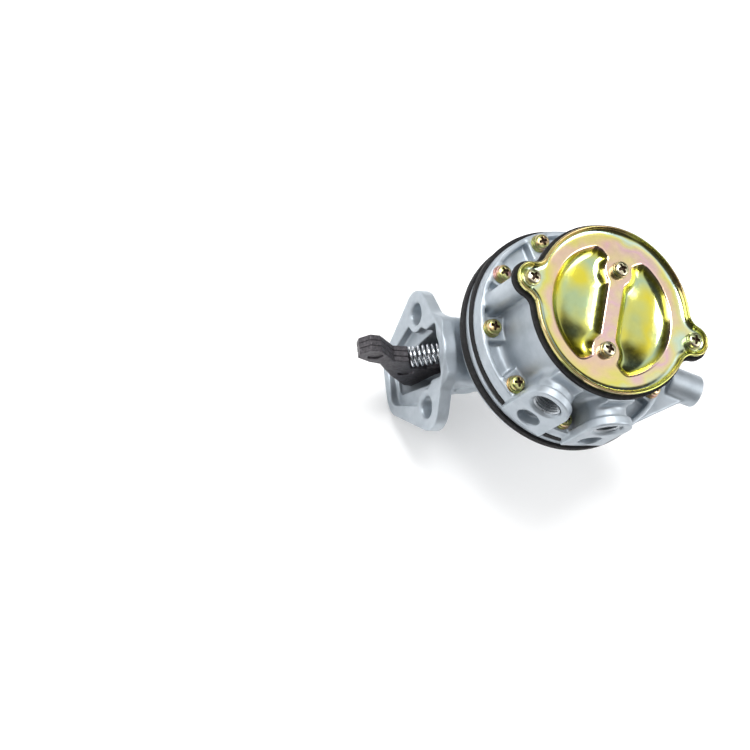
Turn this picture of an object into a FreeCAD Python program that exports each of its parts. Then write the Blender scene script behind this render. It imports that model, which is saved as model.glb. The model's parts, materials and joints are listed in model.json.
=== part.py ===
import FreeCAD, Part
import math
import os

# Mechanical fuel pump with a rocker arm and two clamped diaphragms.
# The origin is on the mounting face, midway between the two bolt holes.
# The mounting face is the plane x = 0, and the arm reaches out of it to -X.
# +Z runs along the diaphragm axis to the cover, and the bolt holes lie along Y.
# All sizes are in millimetres and all angles are in degrees.

V = FreeCAD.Vector
X_AXIS = V(1, 0, 0)
Y_AXIS = V(0, 1, 0)
Z_AXIS = V(0, 0, 1)

# Fits
PRESS_GAP = 0.02
RUNNING_GAP = 0.05
SLIDE_GAP = 0.10
FREE_GAP = 0.30

# Mounting flange
BOLT_SPACING = 46.0
BOLT_HOLE_D = 10.4
BOLT_CHAMFER = 1.0
MOUNT_T = 6.5
POCKET_DEPTH = 4.2
BOLT_BOSS_R = 8.8
MOUNT_CORNERS = [(0.5, 11.0, 13.3), (-23.0, 1.0, 11.4), (-9.5, -28.0, 9.4), (8.5, -29.3, 8.2), (23.0, 0.0, 11.2)]
POCKET_CORNERS = [(0.5, 11.0, 8.4), (-15.5, -4.0, 5.5), (-8.0, -27.8, 5.7), (6.8, -29.0, 4.5), (16.0, -5.0, 4.5)]

# Round flange of the housing, and how far its edge stands back from the mounting face
HOUSING_R = 50.6
FLANGE_SETBACK = 5.7
AXIS_X = HOUSING_R + FLANGE_SETBACK
AXIS = V(AXIS_X, 0, 0)

# Neck of the housing: half width and level of the corner circles at four stations
WALL = 3.5
NECK_TOP = 21.5
NECK_STATIONS = [
    {"x": 6.0, "top_y": 11.4, "top_r": 5.0, "top_z": 16.5, "low_y": 4.5, "low_r": 7.0, "low_z": -28.5},
    {"x": 34.0, "top_y": 12.5, "top_r": 5.0, "top_z": 12.0, "low_y": 3.5, "low_r": 6.5, "low_z": -13.0},
    {"x": AXIS_X + 8.7, "top_y": 9.0, "top_r": 5.0, "top_z": 8.0, "low_y": 4.0, "low_r": 5.5, "low_z": -14.5},
    {"x": AXIS_X + 14.7, "top_y": 5.0, "top_r": 5.0, "top_z": 7.0, "low_y": 2.0, "low_r": 5.0, "low_z": -9.0},
]

# Levels of the stack above the mounting bolts
HOUSING_FLANGE_T = 6.0
HOUSING_TOP = 32.4
LOWER_RIM_T = 3.5
SPACER_T = 3.6
UPPER_RIM_T = 3.2
BODY_FLANGE_T = 7.0
BODY_FLOOR_T = 2.3
BODY_HEIGHT = 37.0
COVER_DIAPHRAGM_T = 2.0
COVER_T = 1.0
SPACER_BOTTOM = HOUSING_TOP + LOWER_RIM_T
SPACER_TOP = SPACER_BOTTOM + SPACER_T
BODY_BOTTOM = SPACER_TOP + UPPER_RIM_T
SCREW_SEAT = BODY_BOTTOM + BODY_FLANGE_T
BODY_TOP = BODY_BOTTOM + BODY_HEIGHT
COVER_BOTTOM = BODY_TOP + COVER_DIAPHRAGM_T
COVER_FACE = COVER_BOTTOM + COVER_T

# Radii of the stack
LOWER_DIAPHRAGM_R = HOUSING_R + 1.5
SPACER_R = HOUSING_R + 0.3
UPPER_DIAPHRAGM_R = HOUSING_R + 0.2
BODY_FLANGE_R = HOUSING_R - 0.2
RIM_W = 3.0
CHAMBER_R = HOUSING_R - 10.0
DRUM_R = HOUSING_R - 12.1
DRUM_WALL = 3.5
DRUM_FILLET = 3.0
BOWL_FLOOR = 14.0
BOWL_FLOOR_R = 22.0

# Flange screws
FLANGE_SCREWS = 10
SCREW_CIRCLE_R = HOUSING_R - 5.4
SCREW_D = 4.8
SCREW_LENGTH = 21.0
SCREW_HEAD_D = 7.4
SCREW_HEAD_H = 2.9
WASHER_D = 8.6
WASHER_T = 0.9
LOCK_D = 8.0
LOCK_T = 1.2
LOCK_SLIT = 0.7
DRIVE_W = 1.1
DRIVE_SPAN = 3.9
DRIVE_DEPTH = 1.5
PAD_HALF_W = 5.8

# Cover, its ears and its bar
COVER_DIR = 252.0
COVER_R = DRUM_R + 1.9
EAR_R = 7.4
EAR_REACH = 4.5
EAR_CIRCLE_R = DRUM_R + EAR_REACH
EAR_BLEND_R = 7.0
EAR_COLUMN_R = 5.4
LIP_H = 3.4
LIP_T = 1.0
LIP_BEND_R = 2.0
COVER_BORDER = 9.0
POCKET_R = COVER_R - COVER_BORDER
COVER_POCKET_DEPTH = 4.0
POCKET_DISH = 1.0
POCKET_SLOPE = 50.0
POCKET_BEND_R = 6.0
BAR_HALF_W = 3.6
BAR_PAD_R = 6.9
BAR_SCREW_INSET = 11.0
BAR_SCREW_R = POCKET_R - BAR_SCREW_INSET
BAR_END_START = BAR_SCREW_R + 2.1
BAR_END_HALF_W = 3.2
BAR_END_FLARE = 1.19
RUBBER_GAP = 0.3
RUBBER_BAG_T = 1.2
DIAPHRAGM_PROUD = 1.2
COVER_SCREW_LENGTH = 12.0
WEB_HALF_W = 2.5
BAR_BOSS_R = 5.2

# Ports
PORT_HALF_ANGLE = 18.5
PORT_PROUD = 1.6
PORT_FACE = BODY_FLANGE_R + PORT_PROUD
PORT_PLATE_T = 4.6
PORT_HALF_W = 11.3
PORT_OVERHANG = 2.1
PORT_BASE = BODY_BOTTOM - PORT_OVERHANG
PORT_DEPTH = 14.7
PORT_LEVEL = BODY_TOP - PORT_DEPTH
PORT_NECK_HALF_W = 9.3
PORT_THREAD_R = 6.6
PORT_THREAD_LENGTH = 12.5
PORT_CHAMFER = 1.5
PORT_PASSAGE_R = 4.4
BLANK_HOLE_R = 5.5
BLANK_HOLE_DEPTH = 5.0
BLANK_DROP = 16.2
BLANK_LEVEL = PORT_LEVEL - BLANK_DROP

# Vent boss on the spacer ring
VENT_DIR = 342.0
VENT_R = 7.85
VENT_STANDOFF = 5.6
VENT_START = SPACER_R + VENT_STANDOFF
VENT_LENGTH = 17.5
VENT_END = VENT_START + VENT_LENGTH
VENT_LUG_LEFT = 41.8
VENT_LUG_RIGHT = 45.1
VENT_THREAD_R = 4.3
VENT_THREAD_LENGTH = 9.0
VENT_PASSAGE_R = 1.2

# Rocker arm
PIVOT_X = 18.5
PIVOT_Z = 6.5
PIN_R = 3.0
PLATE_T = 2.6
HUB_R = 6.5
LEVER_R = 5.0
FORK_R = 3.5
FORK_Z = -1.5
MIDDLE_PLATE_END = AXIS_X - 8.3
WASHER_GAP_T = 1.0
PIVOT_WASHER_R = 6.0
PIN_BOSS_R = 5.0
PIN_BOSS_Y = 16.6
PIN_LENGTH = 24.0
PLUG_T = 1.6
PLUG_R = 3.8
RIVET_R = 2.2
RIVET_HEAD_R = 3.7
RIVET_SINK = 0.9
RIVET_PLACES = [(-31.0, 14.2), (-4.3, -8.4)]
ARM_OUTLINE = [
    (-40.5, 17.0, 2.2), (-37.3, 23.2, 3.0), (-31.8, 22.4, 3.0), (-18.5, 9.0, 4.0), (-11.0, 8.8, 0.6),
    (-5.2, -0.9, 1.6), (4.0, -1.0, 4.0), (12.0, 3.4, 1.0), (17.0, 2.5, 1.0), (12.2, -9.0, 3.0),
    (9.2, -28.4, 2.6), (4.0, -27.0, 3.0), (-9.4, -13.8, 6.0), (-23.8, 3.6, 4.0), (-30.5, 5.8, 5.0),
    (-38.6, 11.0, 2.4),
]

# Return spring between the arm's shoulder and the housing
SPRING_SEAT_ARM = (-7.9, 4.2)
SPRING_TILT = 33.0
SPRING_LENGTH = 17.0
SPRING_MEAN_R = 4.3
SPRING_WIRE_R = 0.72
SPRING_TURNS = 7.5
SPRING_NUB_R = 3.3
SPRING_NUB_H = 2.6
SEAT_HALF_W = 5.6

# Pull rod, plates and main spring
ROD_R = 4.0
ROD_TIP_R = 3.0
BUTTON_R = 4.6
BUTTON_T = 3.0
BLADE_T = 2.0
BLADE_W = 7.0
WEB_T = 1.4
LOWER_WEB_Z = HOUSING_TOP + 1.2
UPPER_WEB_Z = SPACER_TOP + 0.9
PLATE_R = 29.0
CLAMP_T = 1.5
HUB_SPACER_R = 20.0
NUT_FLATS = 10.0
NUT_T = 4.0
MAIN_SPRING_R = 14.0
MAIN_WIRE_R = 1.1
MAIN_TURNS = 4.0
RETAINER_R = 8.4
RETAINER_H = 5.0
RETAINER_T = 0.8
SEAL_LIP_GAP = 0.05

# Facets and closed ends of the springs
COIL_STEPS = 14
COIL_SIDES = 6
CLOSED_TURNS = 0.75
GROUND_SHARE = 0.45

# Check valves
VALVE_INSET = 19.5
VALVE_RADIUS = DRUM_R - VALVE_INSET
VALVE_R = 9.0
VALVE_SEAT_T = 3.0
VALVE_STEM_R = 1.5
VALVE_STEM_LENGTH = 6.6
VALVE_CAP_R = 3.2
VALVE_CAP_T = 0.9
DISC_R = 6.6
DISC_T = 1.2
DISC_GAP = 0.10
VALVE_HOLES = 5
VALVE_HOLE_R = 1.4
VALVE_HOLE_CIRCLE = 4.4
VALVE_SPRING_R = 2.5
VALVE_WIRE_R = 0.3
VALVE_SPRING_TURNS = 4.0
ROD_TIP_LENGTH = 0.8
ROD_TOP = UPPER_WEB_Z + WEB_T + CLAMP_T + NUT_T + ROD_TIP_LENGTH
ROD_HEADROOM = 2.9
CEILING = ROD_TOP + ROD_HEADROOM
CHAMBER_FLOOR_T = 4.0
CHAMBER_FLOOR = CEILING + CHAMBER_FLOOR_T
INLET_BOSS_R = 11.5
INLET_BOSS_H = 6.0


def in_yz(x):
    """Places plane coordinates on the plane at x."""
    return lambda u, v: V(x, u, v)


def in_xz(y):
    """Places plane coordinates on the plane at y."""
    return lambda u, v: V(u, y, v)


def in_xy(z):
    """Places plane coordinates on the plane at z."""
    return lambda u, v: V(u, v, z)


def polar(radius, angle, z=0.0):
    """Point at a radius and angle about the diaphragm axis."""
    turn = math.radians(angle)
    return V(AXIS_X + radius * math.cos(turn), radius * math.sin(turn), z)


def heading(angle):
    """Level unit vector at an angle."""
    turn = math.radians(angle)
    return V(math.cos(turn), math.sin(turn), 0)


def hull_wire(circles, place):
    """Closed wire of lines and arcs round circles (u, v, radius) in turning order."""
    count = len(circles)
    lines = []
    for i in range(count):
        u1, v1, r1 = circles[i]
        u2, v2, r2 = circles[(i + 1) % count]
        length = math.hypot(u2 - u1, v2 - v1)
        du = (u2 - u1) / length
        dv = (v2 - v1) / length
        lean = (r1 - r2) / length
        side = math.sqrt(1 - lean * lean)
        nu = lean * du + side * dv
        nv = lean * dv - side * du
        lines.append(((u1 + r1 * nu, v1 + r1 * nv), (u2 + r2 * nu, v2 + r2 * nv)))
    edges = []
    for i in range(count):
        start, end = lines[i]
        u, v, r = circles[(i + 1) % count]
        onward = lines[(i + 1) % count][0]
        first = math.atan2(end[1] - v, end[0] - u)
        last = math.atan2(onward[1] - v, onward[0] - u)
        if last < first:
            last += 2 * math.pi
        middle = (first + last) / 2
        edges.append(Part.LineSegment(place(*start), place(*end)).toShape())
        crown = place(u + r * math.cos(middle), v + r * math.sin(middle))
        edges.append(Part.Arc(place(*end), crown, place(*onward)).toShape())
    return Part.Wire(edges)


def bend(before, corner, after, radius):
    """Start, crown and end of the arc that rounds a corner between two points."""
    back = math.hypot(before[0] - corner[0], before[1] - corner[1])
    on = math.hypot(after[0] - corner[0], after[1] - corner[1])
    back_u = (before[0] - corner[0]) / back
    back_v = (before[1] - corner[1]) / back
    on_u = (after[0] - corner[0]) / on
    on_v = (after[1] - corner[1]) / on
    half = math.acos(back_u * on_u + back_v * on_v) / 2
    reach = radius / math.tan(half)
    split = math.hypot(back_u + on_u, back_v + on_v)
    depth = (radius / math.sin(half) - radius) / split
    start = (corner[0] + reach * back_u, corner[1] + reach * back_v)
    crown = (corner[0] + depth * (back_u + on_u), corner[1] + depth * (back_v + on_v))
    end = (corner[0] + reach * on_u, corner[1] + reach * on_v)
    return start, crown, end


def rounded_wire(corners, place):
    """Closed wire through corners (u, v, radius), each rounded to its radius."""
    count = len(corners)
    bends = [bend(corners[i - 1], corners[i], corners[(i + 1) % count], corners[i][2]) for i in range(count)]
    edges = []
    for i in range(count):
        start, crown, end = bends[i]
        edges.append(Part.Arc(place(*start), place(*crown), place(*end)).toShape())
        edges.append(Part.LineSegment(place(*end), place(*bends[(i + 1) % count][0])).toShape())
    return Part.Wire(edges)


def prism(wire, direction):
    """Solid swept straight from a closed wire."""
    return Part.Face(wire).extrude(direction)


def rod(radius, start, direction, length):
    """Solid cylinder from a point along a direction."""
    return Part.makeCylinder(radius, length, start, direction)


def turned(profile, centre=AXIS):
    """Solid of revolution from points (radius, level) about an axis along Z."""
    points = [V(centre.x + r, centre.y, centre.z + z) for r, z in profile]
    return Part.Face(Part.makePolygon(points + [points[0]])).revolve(centre, Z_AXIS, 360)


def ring(outer, inner, bottom, height, centre=AXIS):
    """Flat ring about an axis along Z."""
    start = V(centre.x, centre.y, bottom)
    solid = Part.makeCylinder(outer, height, start, Z_AXIS)
    return solid.cut(Part.makeCylinder(inner, height, start, Z_AXIS))


def block(low, high):
    """Box between two corners."""
    return Part.makeBox(high.x - low.x, high.y - low.y, high.z - low.z, low)


def turned_to(solid, angle):
    """Solid turned about the diaphragm axis by an angle."""
    copy = solid.copy()
    copy.rotate(AXIS, Z_AXIS, angle)
    return copy


def fused(solids):
    """One solid from overlapping ones, with coplanar faces joined."""
    return solids[0].fuse(solids[1:]).removeSplitter()


def coil(mean_r, wire_r, turns, length, start, direction):
    """Compression spring in flat facets, with closed ends ground flat."""
    closed = 2 * wire_r + PRESS_GAP
    low = GROUND_SHARE * wire_r
    pitch = (length - 2 * low - 2 * CLOSED_TURNS * closed) / (turns - 2 * CLOSED_TURNS)
    count = round(turns * COIL_STEPS)
    points = []
    for i in range(count + 1):
        done = turns * i / count
        first = min(done, CLOSED_TURNS)
        last = max(done - turns + CLOSED_TURNS, 0)
        level = low + (first + last) * closed + (done - first - last) * pitch
        turn = 2 * math.pi * done
        for k in range(COIL_SIDES):
            lean = 2 * math.pi * (k + 0.5) / COIL_SIDES
            r = mean_r + wire_r * math.cos(lean)
            z = min(max(level + wire_r * math.sin(lean), 0), length)
            points.append(V(r * math.cos(turn), r * math.sin(turn), z))
    facets = []
    for i in range(count):
        for k in range(COIL_SIDES):
            a = i * COIL_SIDES + k
            b = i * COIL_SIDES + (k + 1) % COIL_SIDES
            facets += [(a, a + COIL_SIDES, b), (b, a + COIL_SIDES, b + COIL_SIDES)]
    for ring_start, flip in ((0, False), (count * COIL_SIDES, True)):
        centre = V(0, 0, 0)
        for k in range(COIL_SIDES):
            centre = centre + points[ring_start + k] * (1.0 / COIL_SIDES)
        points.append(centre)
        for k in range(COIL_SIDES):
            a = ring_start + k
            b = ring_start + (k + 1) % COIL_SIDES
            facets.append((len(points) - 1, b, a) if flip else (len(points) - 1, a, b))
    shell = Part.Shape()
    shell.makeShapeFromMesh((points, facets), 0.001)
    solid = Part.Solid(Part.Shell(shell.Faces))
    if solid.Volume < 0:
        solid.reverse()
    solid.Placement = FreeCAD.Placement(start, FreeCAD.Rotation(Z_AXIS, direction))
    return solid


# Places of the fasteners
FLANGE_PLACES = [polar(SCREW_CIRCLE_R, i * 360.0 / FLANGE_SCREWS) for i in range(FLANGE_SCREWS)]
EAR_DIRS = [COVER_DIR - 90, COVER_DIR + 90]
BAR_DIRS = [COVER_DIR, COVER_DIR + 180]
COVER_PLACES = [polar(EAR_CIRCLE_R, a) for a in EAR_DIRS] + [polar(BAR_SCREW_R, a) for a in BAR_DIRS]
PORT_DIRS = [COVER_DIR - PORT_HALF_ANGLE, COVER_DIR + PORT_HALF_ANGLE]
INLET_AT = polar(VALVE_RADIUS, EAR_DIRS[0])
OUTLET_AT = polar(VALVE_RADIUS, EAR_DIRS[1])


def holes(places, radius, bottom, height):
    """Vertical cylinders for holes at several places."""
    return [rod(radius, V(p.x, p.y, bottom), Z_AXIS, height) for p in places]


def neck_circles(station, inset):
    """Corner circles of the neck's section at a station, moved in by a wall."""
    top_y = station["top_y"]
    low_y = station["low_y"]
    top = station["top_r"] - inset
    low = station["low_r"] - inset
    return [
        (top_y, station["top_z"], top), (-top_y, station["top_z"], top),
        (-low_y, station["low_z"], low), (low_y, station["low_z"], low),
    ]


def neck(inset, first_x, last_x):
    """Lofted neck from the mounting flange to under the bowl."""
    places = [first_x, NECK_STATIONS[1]["x"], NECK_STATIONS[2]["x"] - inset, last_x]
    wires = [hull_wire(neck_circles(s, inset), in_yz(x)) for s, x in zip(NECK_STATIONS, places)]
    return fused([Part.makeLoft(list(pair), True, True) for pair in zip(wires[:-1], wires[1:])])


def housing():
    """Die-cast housing: mounting flange, neck, spring bowl and round flange."""
    flange_bottom = HOUSING_TOP - HOUSING_FLANGE_T
    bowl = turned([
        (0, BOWL_FLOOR - WALL), (BOWL_FLOOR_R - 2, BOWL_FLOOR - WALL), (HOUSING_R - 8, flange_bottom),
        (HOUSING_R, flange_bottom + 0.6), (HOUSING_R, HOUSING_TOP), (0, HOUSING_TOP),
    ])
    plate = prism(hull_wire(MOUNT_CORNERS, in_yz(0)), V(MOUNT_T, 0, 0))
    body = fused([bowl, neck(0, MOUNT_T - 1, NECK_STATIONS[-1]["x"]), plate])
    chamber = turned([
        (0, BOWL_FLOOR), (BOWL_FLOOR_R, BOWL_FLOOR), (CHAMBER_R - 3.0, HOUSING_TOP - 5.0),
        (CHAMBER_R, HOUSING_TOP - 2.5), (CHAMBER_R, HOUSING_TOP), (0, HOUSING_TOP),
    ])
    roof = turned([
        (0, BOWL_FLOOR - WALL), (BOWL_FLOOR_R - 2, BOWL_FLOOR - WALL), (CHAMBER_R, HOUSING_TOP - 7.4),
        (CHAMBER_R + 20, HOUSING_TOP - 7.4), (CHAMBER_R + 20, HOUSING_TOP + 20), (0, HOUSING_TOP + 20),
    ])
    cavity = neck(WALL, 0, NECK_STATIONS[-1]["x"] - WALL).cut(roof)
    pocket = prism(hull_wire(POCKET_CORNERS, in_yz(0)), V(POCKET_DEPTH, 0, 0))
    half = BOLT_SPACING / 2
    for side in (-half, half):
        pocket = pocket.cut(rod(BOLT_BOSS_R, V(0, side, 0), X_AXIS, POCKET_DEPTH))
    body = body.cut([chamber, cavity, pocket])
    inner_face = 1.5 * PLATE_T + WASHER_GAP_T + SLIDE_GAP
    pivot = V(PIVOT_X, 0, PIVOT_Z)
    bosses = [
        rod(PIN_BOSS_R, pivot + V(0, -PIN_BOSS_Y, 0), Y_AXIS, PIN_BOSS_Y - inner_face),
        rod(PIN_BOSS_R, pivot + V(0, inner_face, 0), Y_AXIS, PIN_BOSS_Y - inner_face),
        spring_seat(),
    ]
    body = fused([body] + bosses)
    drill = [rod(PIN_R + PRESS_GAP, pivot + V(0, -PIN_LENGTH / 2, 0), Y_AXIS, PIN_LENGTH / 2 + PIN_BOSS_Y)]
    drill.append(rod(PLUG_R + PRESS_GAP, pivot + V(0, PIN_BOSS_Y - PLUG_T, 0), Y_AXIS, PLUG_T))
    for side in (-half, half):
        start = V(0, side, 0)
        drill.append(rod(BOLT_HOLE_D / 2, start, X_AXIS, MOUNT_T))
        drill.append(Part.makeCone(BOLT_HOLE_D / 2 + BOLT_CHAMFER, BOLT_HOLE_D / 2, BOLT_CHAMFER, start, X_AXIS))
    drill.append(rod(ROD_R + FREE_GAP, V(AXIS_X, 0, 0), Z_AXIS, BOWL_FLOOR))
    tapped = SCREW_D / 2 + PRESS_GAP
    depth = SCREW_LENGTH - (SCREW_SEAT - HOUSING_TOP) + 1.0
    drill += holes(FLANGE_PLACES, tapped, HOUSING_TOP - depth, depth)
    return body.cut(drill)


def spring_direction():
    """Unit vector along the return spring, from the arm to the housing."""
    turn = math.radians(SPRING_TILT)
    return V(math.cos(turn), 0, math.sin(turn))


def spring_end():
    """Centre of the return spring's seat in the housing."""
    return V(SPRING_SEAT_ARM[0], 0, SPRING_SEAT_ARM[1]) + spring_direction() * SPRING_LENGTH


def spring_seat():
    """Slanted seat under the neck's top wall, with the nub that centres the spring."""
    along = spring_direction()
    across = V(-along.z, 0, along.x)
    end = spring_end()
    high = end + across * SEAT_HALF_W
    low = end - across * SEAT_HALF_W
    back = low + along * 2.6
    roof = NECK_TOP - 1.5
    points = [high, low, back, V(back.x, 0, roof), V(high.x, 0, roof)]
    points = [p - V(0, SEAT_HALF_W, 0) for p in points]
    wedge = Part.Face(Part.makePolygon(points + [points[0]])).extrude(V(0, 2 * SEAT_HALF_W, 0))
    nub = rod(SPRING_NUB_R - 0.4, end - along * SPRING_NUB_H, along, SPRING_NUB_H + 1)
    return wedge.fuse(nub)


def arm_plate(bottom_y, forked):
    """One stamped plate of the rocker arm."""
    place = in_xz(bottom_y)
    step = V(0, PLATE_T, 0)
    outer = prism(rounded_wire(ARM_OUTLINE, place), step)
    hub = rod(HUB_R, V(PIVOT_X, bottom_y, PIVOT_Z), Y_AXIS, PLATE_T)
    end_x = AXIS_X if forked else MIDDLE_PLATE_END
    share = (end_x - PIVOT_X) / (AXIS_X - PIVOT_X)
    end_z = PIVOT_Z + (FORK_Z - PIVOT_Z) * share
    lever = prism(hull_wire([(PIVOT_X, PIVOT_Z, LEVER_R), (end_x, end_z, FORK_R)], place), step)
    plate = fused([outer, hub, lever])
    return plate.cut(rod(PIN_R + RUNNING_GAP, V(PIVOT_X, bottom_y, PIVOT_Z), Y_AXIS, PLATE_T))


def rivet_cone(x, z, side, radius, sink):
    """Countersunk head of a rivet, on the arm's -Y or +Y face."""
    outer = side * 1.5 * PLATE_T
    inner = side * 0.5 * PLATE_T
    start = V(x, outer - side * sink, z)
    height = abs(outer - inner) - sink
    return Part.makeCone(radius, RIVET_R, height, start, V(0, -side, 0))


def rocker_plates():
    """The arm's three plates, with the holes of the two rivets."""
    plates = {}
    for name, row, forked in (("left", 0.5, True), ("middle", -0.5, False), ("right", -1.5, True)):
        plate = arm_plate(row * PLATE_T, forked)
        for x, z in RIVET_PLACES:
            plate = plate.cut(rod(RIVET_R + PRESS_GAP, V(x, row * PLATE_T, z), Y_AXIS, PLATE_T))
            if forked:
                side = 1 if row > 0 else -1
                plate = plate.cut(rivet_cone(x, z, side, RIVET_HEAD_R, RIVET_SINK))
                mouth = rod(RIVET_HEAD_R, V(x, side * (1.5 * PLATE_T - RIVET_SINK), z), V(0, side, 0), RIVET_SINK)
                plate = plate.cut(mouth)
        plates["rocker_plate_" + name] = plate
    nub_start = V(SPRING_SEAT_ARM[0], 0, SPRING_SEAT_ARM[1])
    nub = rod(PLATE_T / 2, nub_start - spring_direction(), spring_direction(), 1 + SPRING_NUB_H)
    reach = V(SPRING_LENGTH, PLATE_T / 2, SPRING_LENGTH)
    thin = block(nub_start - reach, nub_start + reach)
    plates["rocker_plate_middle"] = fused([plates["rocker_plate_middle"], nub.common(thin)])
    return plates


def rocker_rivets():
    """Two rivets with countersunk heads, sunk below the outer plates."""
    solids = []
    for x, z in RIVET_PLACES:
        shank = rod(RIVET_R, V(x, -PLATE_T, z), Y_AXIS, 2 * PLATE_T)
        heads = [rivet_cone(x, z, side, RIVET_HEAD_R, RIVET_SINK) for side in (-1, 1)]
        solids.append(fused([shank] + heads))
    return Part.makeCompound(solids)


def pivot_washers():
    """Thrust washers between the arm and the pin bosses."""
    bore = PIN_R + RUNNING_GAP
    near = 1.5 * PLATE_T + SLIDE_GAP
    solids = []
    for start in (near, -near - WASHER_GAP_T):
        at = V(PIVOT_X, start, PIVOT_Z)
        washer = rod(PIVOT_WASHER_R, at, Y_AXIS, WASHER_GAP_T)
        solids.append(washer.cut(rod(bore, at, Y_AXIS, WASHER_GAP_T)))
    return Part.makeCompound(solids)


def pull_rod():
    """Diaphragm rod: button and flat blade in the arm's fork, shaft and threaded tip."""
    fork_low = FORK_Z - FORK_R - FREE_GAP
    blade_top = FORK_Z + FORK_R + 2.0
    shoulder = LOWER_WEB_Z - CLAMP_T
    button = rod(BUTTON_R, V(AXIS_X, 0, fork_low - BUTTON_T), Z_AXIS, BUTTON_T)
    blade = block(
        V(AXIS_X - BLADE_W / 2, -BLADE_T / 2, fork_low - BUTTON_T / 2),
        V(AXIS_X + BLADE_W / 2, BLADE_T / 2, blade_top + 1.0),
    )
    shaft = rod(ROD_R, V(AXIS_X, 0, blade_top), Z_AXIS, shoulder - blade_top)
    end = rod(ROD_TIP_R, V(AXIS_X, 0, shoulder), Z_AXIS, ROD_TOP - shoulder)
    return fused([button, blade, shaft, end])


def clamp_plate(bottom, up):
    """Pressed plate whose edge turns away from the diaphragm."""
    bore = ROD_TIP_R + PRESS_GAP
    lift = 1.2 if up else -1.2
    top = bottom + CLAMP_T
    return turned([
        (bore, bottom), (PLATE_R - 4, bottom), (PLATE_R, bottom + lift), (PLATE_R, top + lift),
        (PLATE_R - 4, top), (bore, top),
    ])


def diaphragm(bottom, rim_t, web_z, outer):
    """Moulded diaphragm: thick rim, thin web with one round convolution."""
    bore = ROD_TIP_R + PRESS_GAP
    inner_r = PLATE_R + 1.0
    outer_r = CHAMBER_R - 0.5
    steps = 6
    sag = 1.6
    low = []
    for i in range(steps + 1):
        share = i / steps
        r = inner_r + (outer_r - inner_r) * share
        low.append((r, web_z - sag * math.sin(math.pi * share)))
    high = [(r, z + WEB_T) for r, z in reversed(low)]
    rim_in = CHAMBER_R
    profile = [(bore, web_z)] + low + [(rim_in, bottom), (outer, bottom), (outer, bottom + rim_t)]
    profile += [(rim_in, bottom + rim_t)] + high + [(bore, web_z + WEB_T)]
    solid = turned(profile)
    return solid.cut(holes(FLANGE_PLACES, SCREW_D / 2 + FREE_GAP, bottom, rim_t))


def nut():
    """Hexagon nut on the rod's tip."""
    bottom = UPPER_WEB_Z + WEB_T + CLAMP_T
    corner = NUT_FLATS / math.sqrt(3)
    points = []
    for i in range(7):
        turn = math.radians(60 * i)
        points.append(V(AXIS_X + corner * math.cos(turn), corner * math.sin(turn), bottom))
    solid = Part.Face(Part.makePolygon(points)).extrude(V(0, 0, NUT_T))
    return solid.cut(rod(ROD_TIP_R + PRESS_GAP, V(AXIS_X, 0, bottom), Z_AXIS, NUT_T))


def seal_parts():
    """Rod seal and the pressed cup that holds it on the bowl's floor."""
    cup = turned([
        (ROD_R + 1.0, BOWL_FLOOR + RETAINER_H - RETAINER_T),
        (RETAINER_R - RETAINER_T, BOWL_FLOOR + RETAINER_H - RETAINER_T),
        (RETAINER_R - RETAINER_T, BOWL_FLOOR + RETAINER_T), (RETAINER_R - RETAINER_T, BOWL_FLOOR),
        (MAIN_SPRING_R + 2.4, BOWL_FLOOR), (MAIN_SPRING_R + 2.4, BOWL_FLOOR + RETAINER_T),
        (RETAINER_R, BOWL_FLOOR + RETAINER_T), (RETAINER_R, BOWL_FLOOR + RETAINER_H), (ROD_R + 1.0, BOWL_FLOOR + RETAINER_H),
    ])
    height = RETAINER_H - RETAINER_T
    seal = ring(RETAINER_R - RETAINER_T, ROD_R + SEAL_LIP_GAP, BOWL_FLOOR, height)
    return cup, seal


def spacer():
    """Spacer ring between the diaphragms, with its radial vent boss."""
    disc = ring(SPACER_R, CHAMBER_R, SPACER_BOTTOM, SPACER_T)
    out = heading(VENT_DIR)
    side = Z_AXIS.cross(out)
    level = SPACER_BOTTOM + SPACER_T / 2
    centre = V(AXIS_X, 0, level)
    boss = rod(VENT_R, centre + out * VENT_START, out, VENT_END - VENT_START)
    base = V(AXIS_X, 0, SPACER_BOTTOM)
    lug_points = [
        polar(SPACER_R - 1.4, VENT_DIR + VENT_LUG_LEFT, SPACER_BOTTOM),
        base + out * (VENT_START + 1.5) + side * VENT_R * 0.9,
        base + out * (VENT_END - 6) + side * VENT_R * 0.9, base + out * (VENT_END - 6) - side * VENT_R * 0.9,
        polar(SPACER_R - 1.4, VENT_DIR - VENT_LUG_RIGHT, SPACER_BOTTOM),
    ]
    lug = Part.Face(Part.makePolygon(lug_points + [lug_points[0]])).extrude(V(0, 0, SPACER_T))
    lug = lug.cut(rod(CHAMBER_R + 2, base, Z_AXIS, SPACER_T))
    solid = fused([disc, lug, boss])
    cuts = [
        rod(VENT_THREAD_R, centre + out * VENT_END, out * -1, VENT_THREAD_LENGTH),
        rod(VENT_PASSAGE_R, centre + out * (CHAMBER_R - 1), out, VENT_END - CHAMBER_R),
    ]
    cuts += holes(FLANGE_PLACES, SCREW_D / 2 + FREE_GAP, SPACER_BOTTOM, SPACER_T)
    return solid.cut(cuts)


def cover_outline(grow, z):
    """Outline of the cover, its ears blended in, grown by a distance."""
    solid = Part.makeCylinder(COVER_R + grow, 1, V(AXIS_X, 0, z))
    for angle in EAR_DIRS:
        ear = Part.makeCylinder(EAR_R + grow, 1, polar(EAR_CIRCLE_R, angle, z))
        solid = solid.fuse(ear)
        blend = ear_blend(grow, angle, z)
        solid = solid.fuse(blend)
    return solid.removeSplitter()


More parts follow.
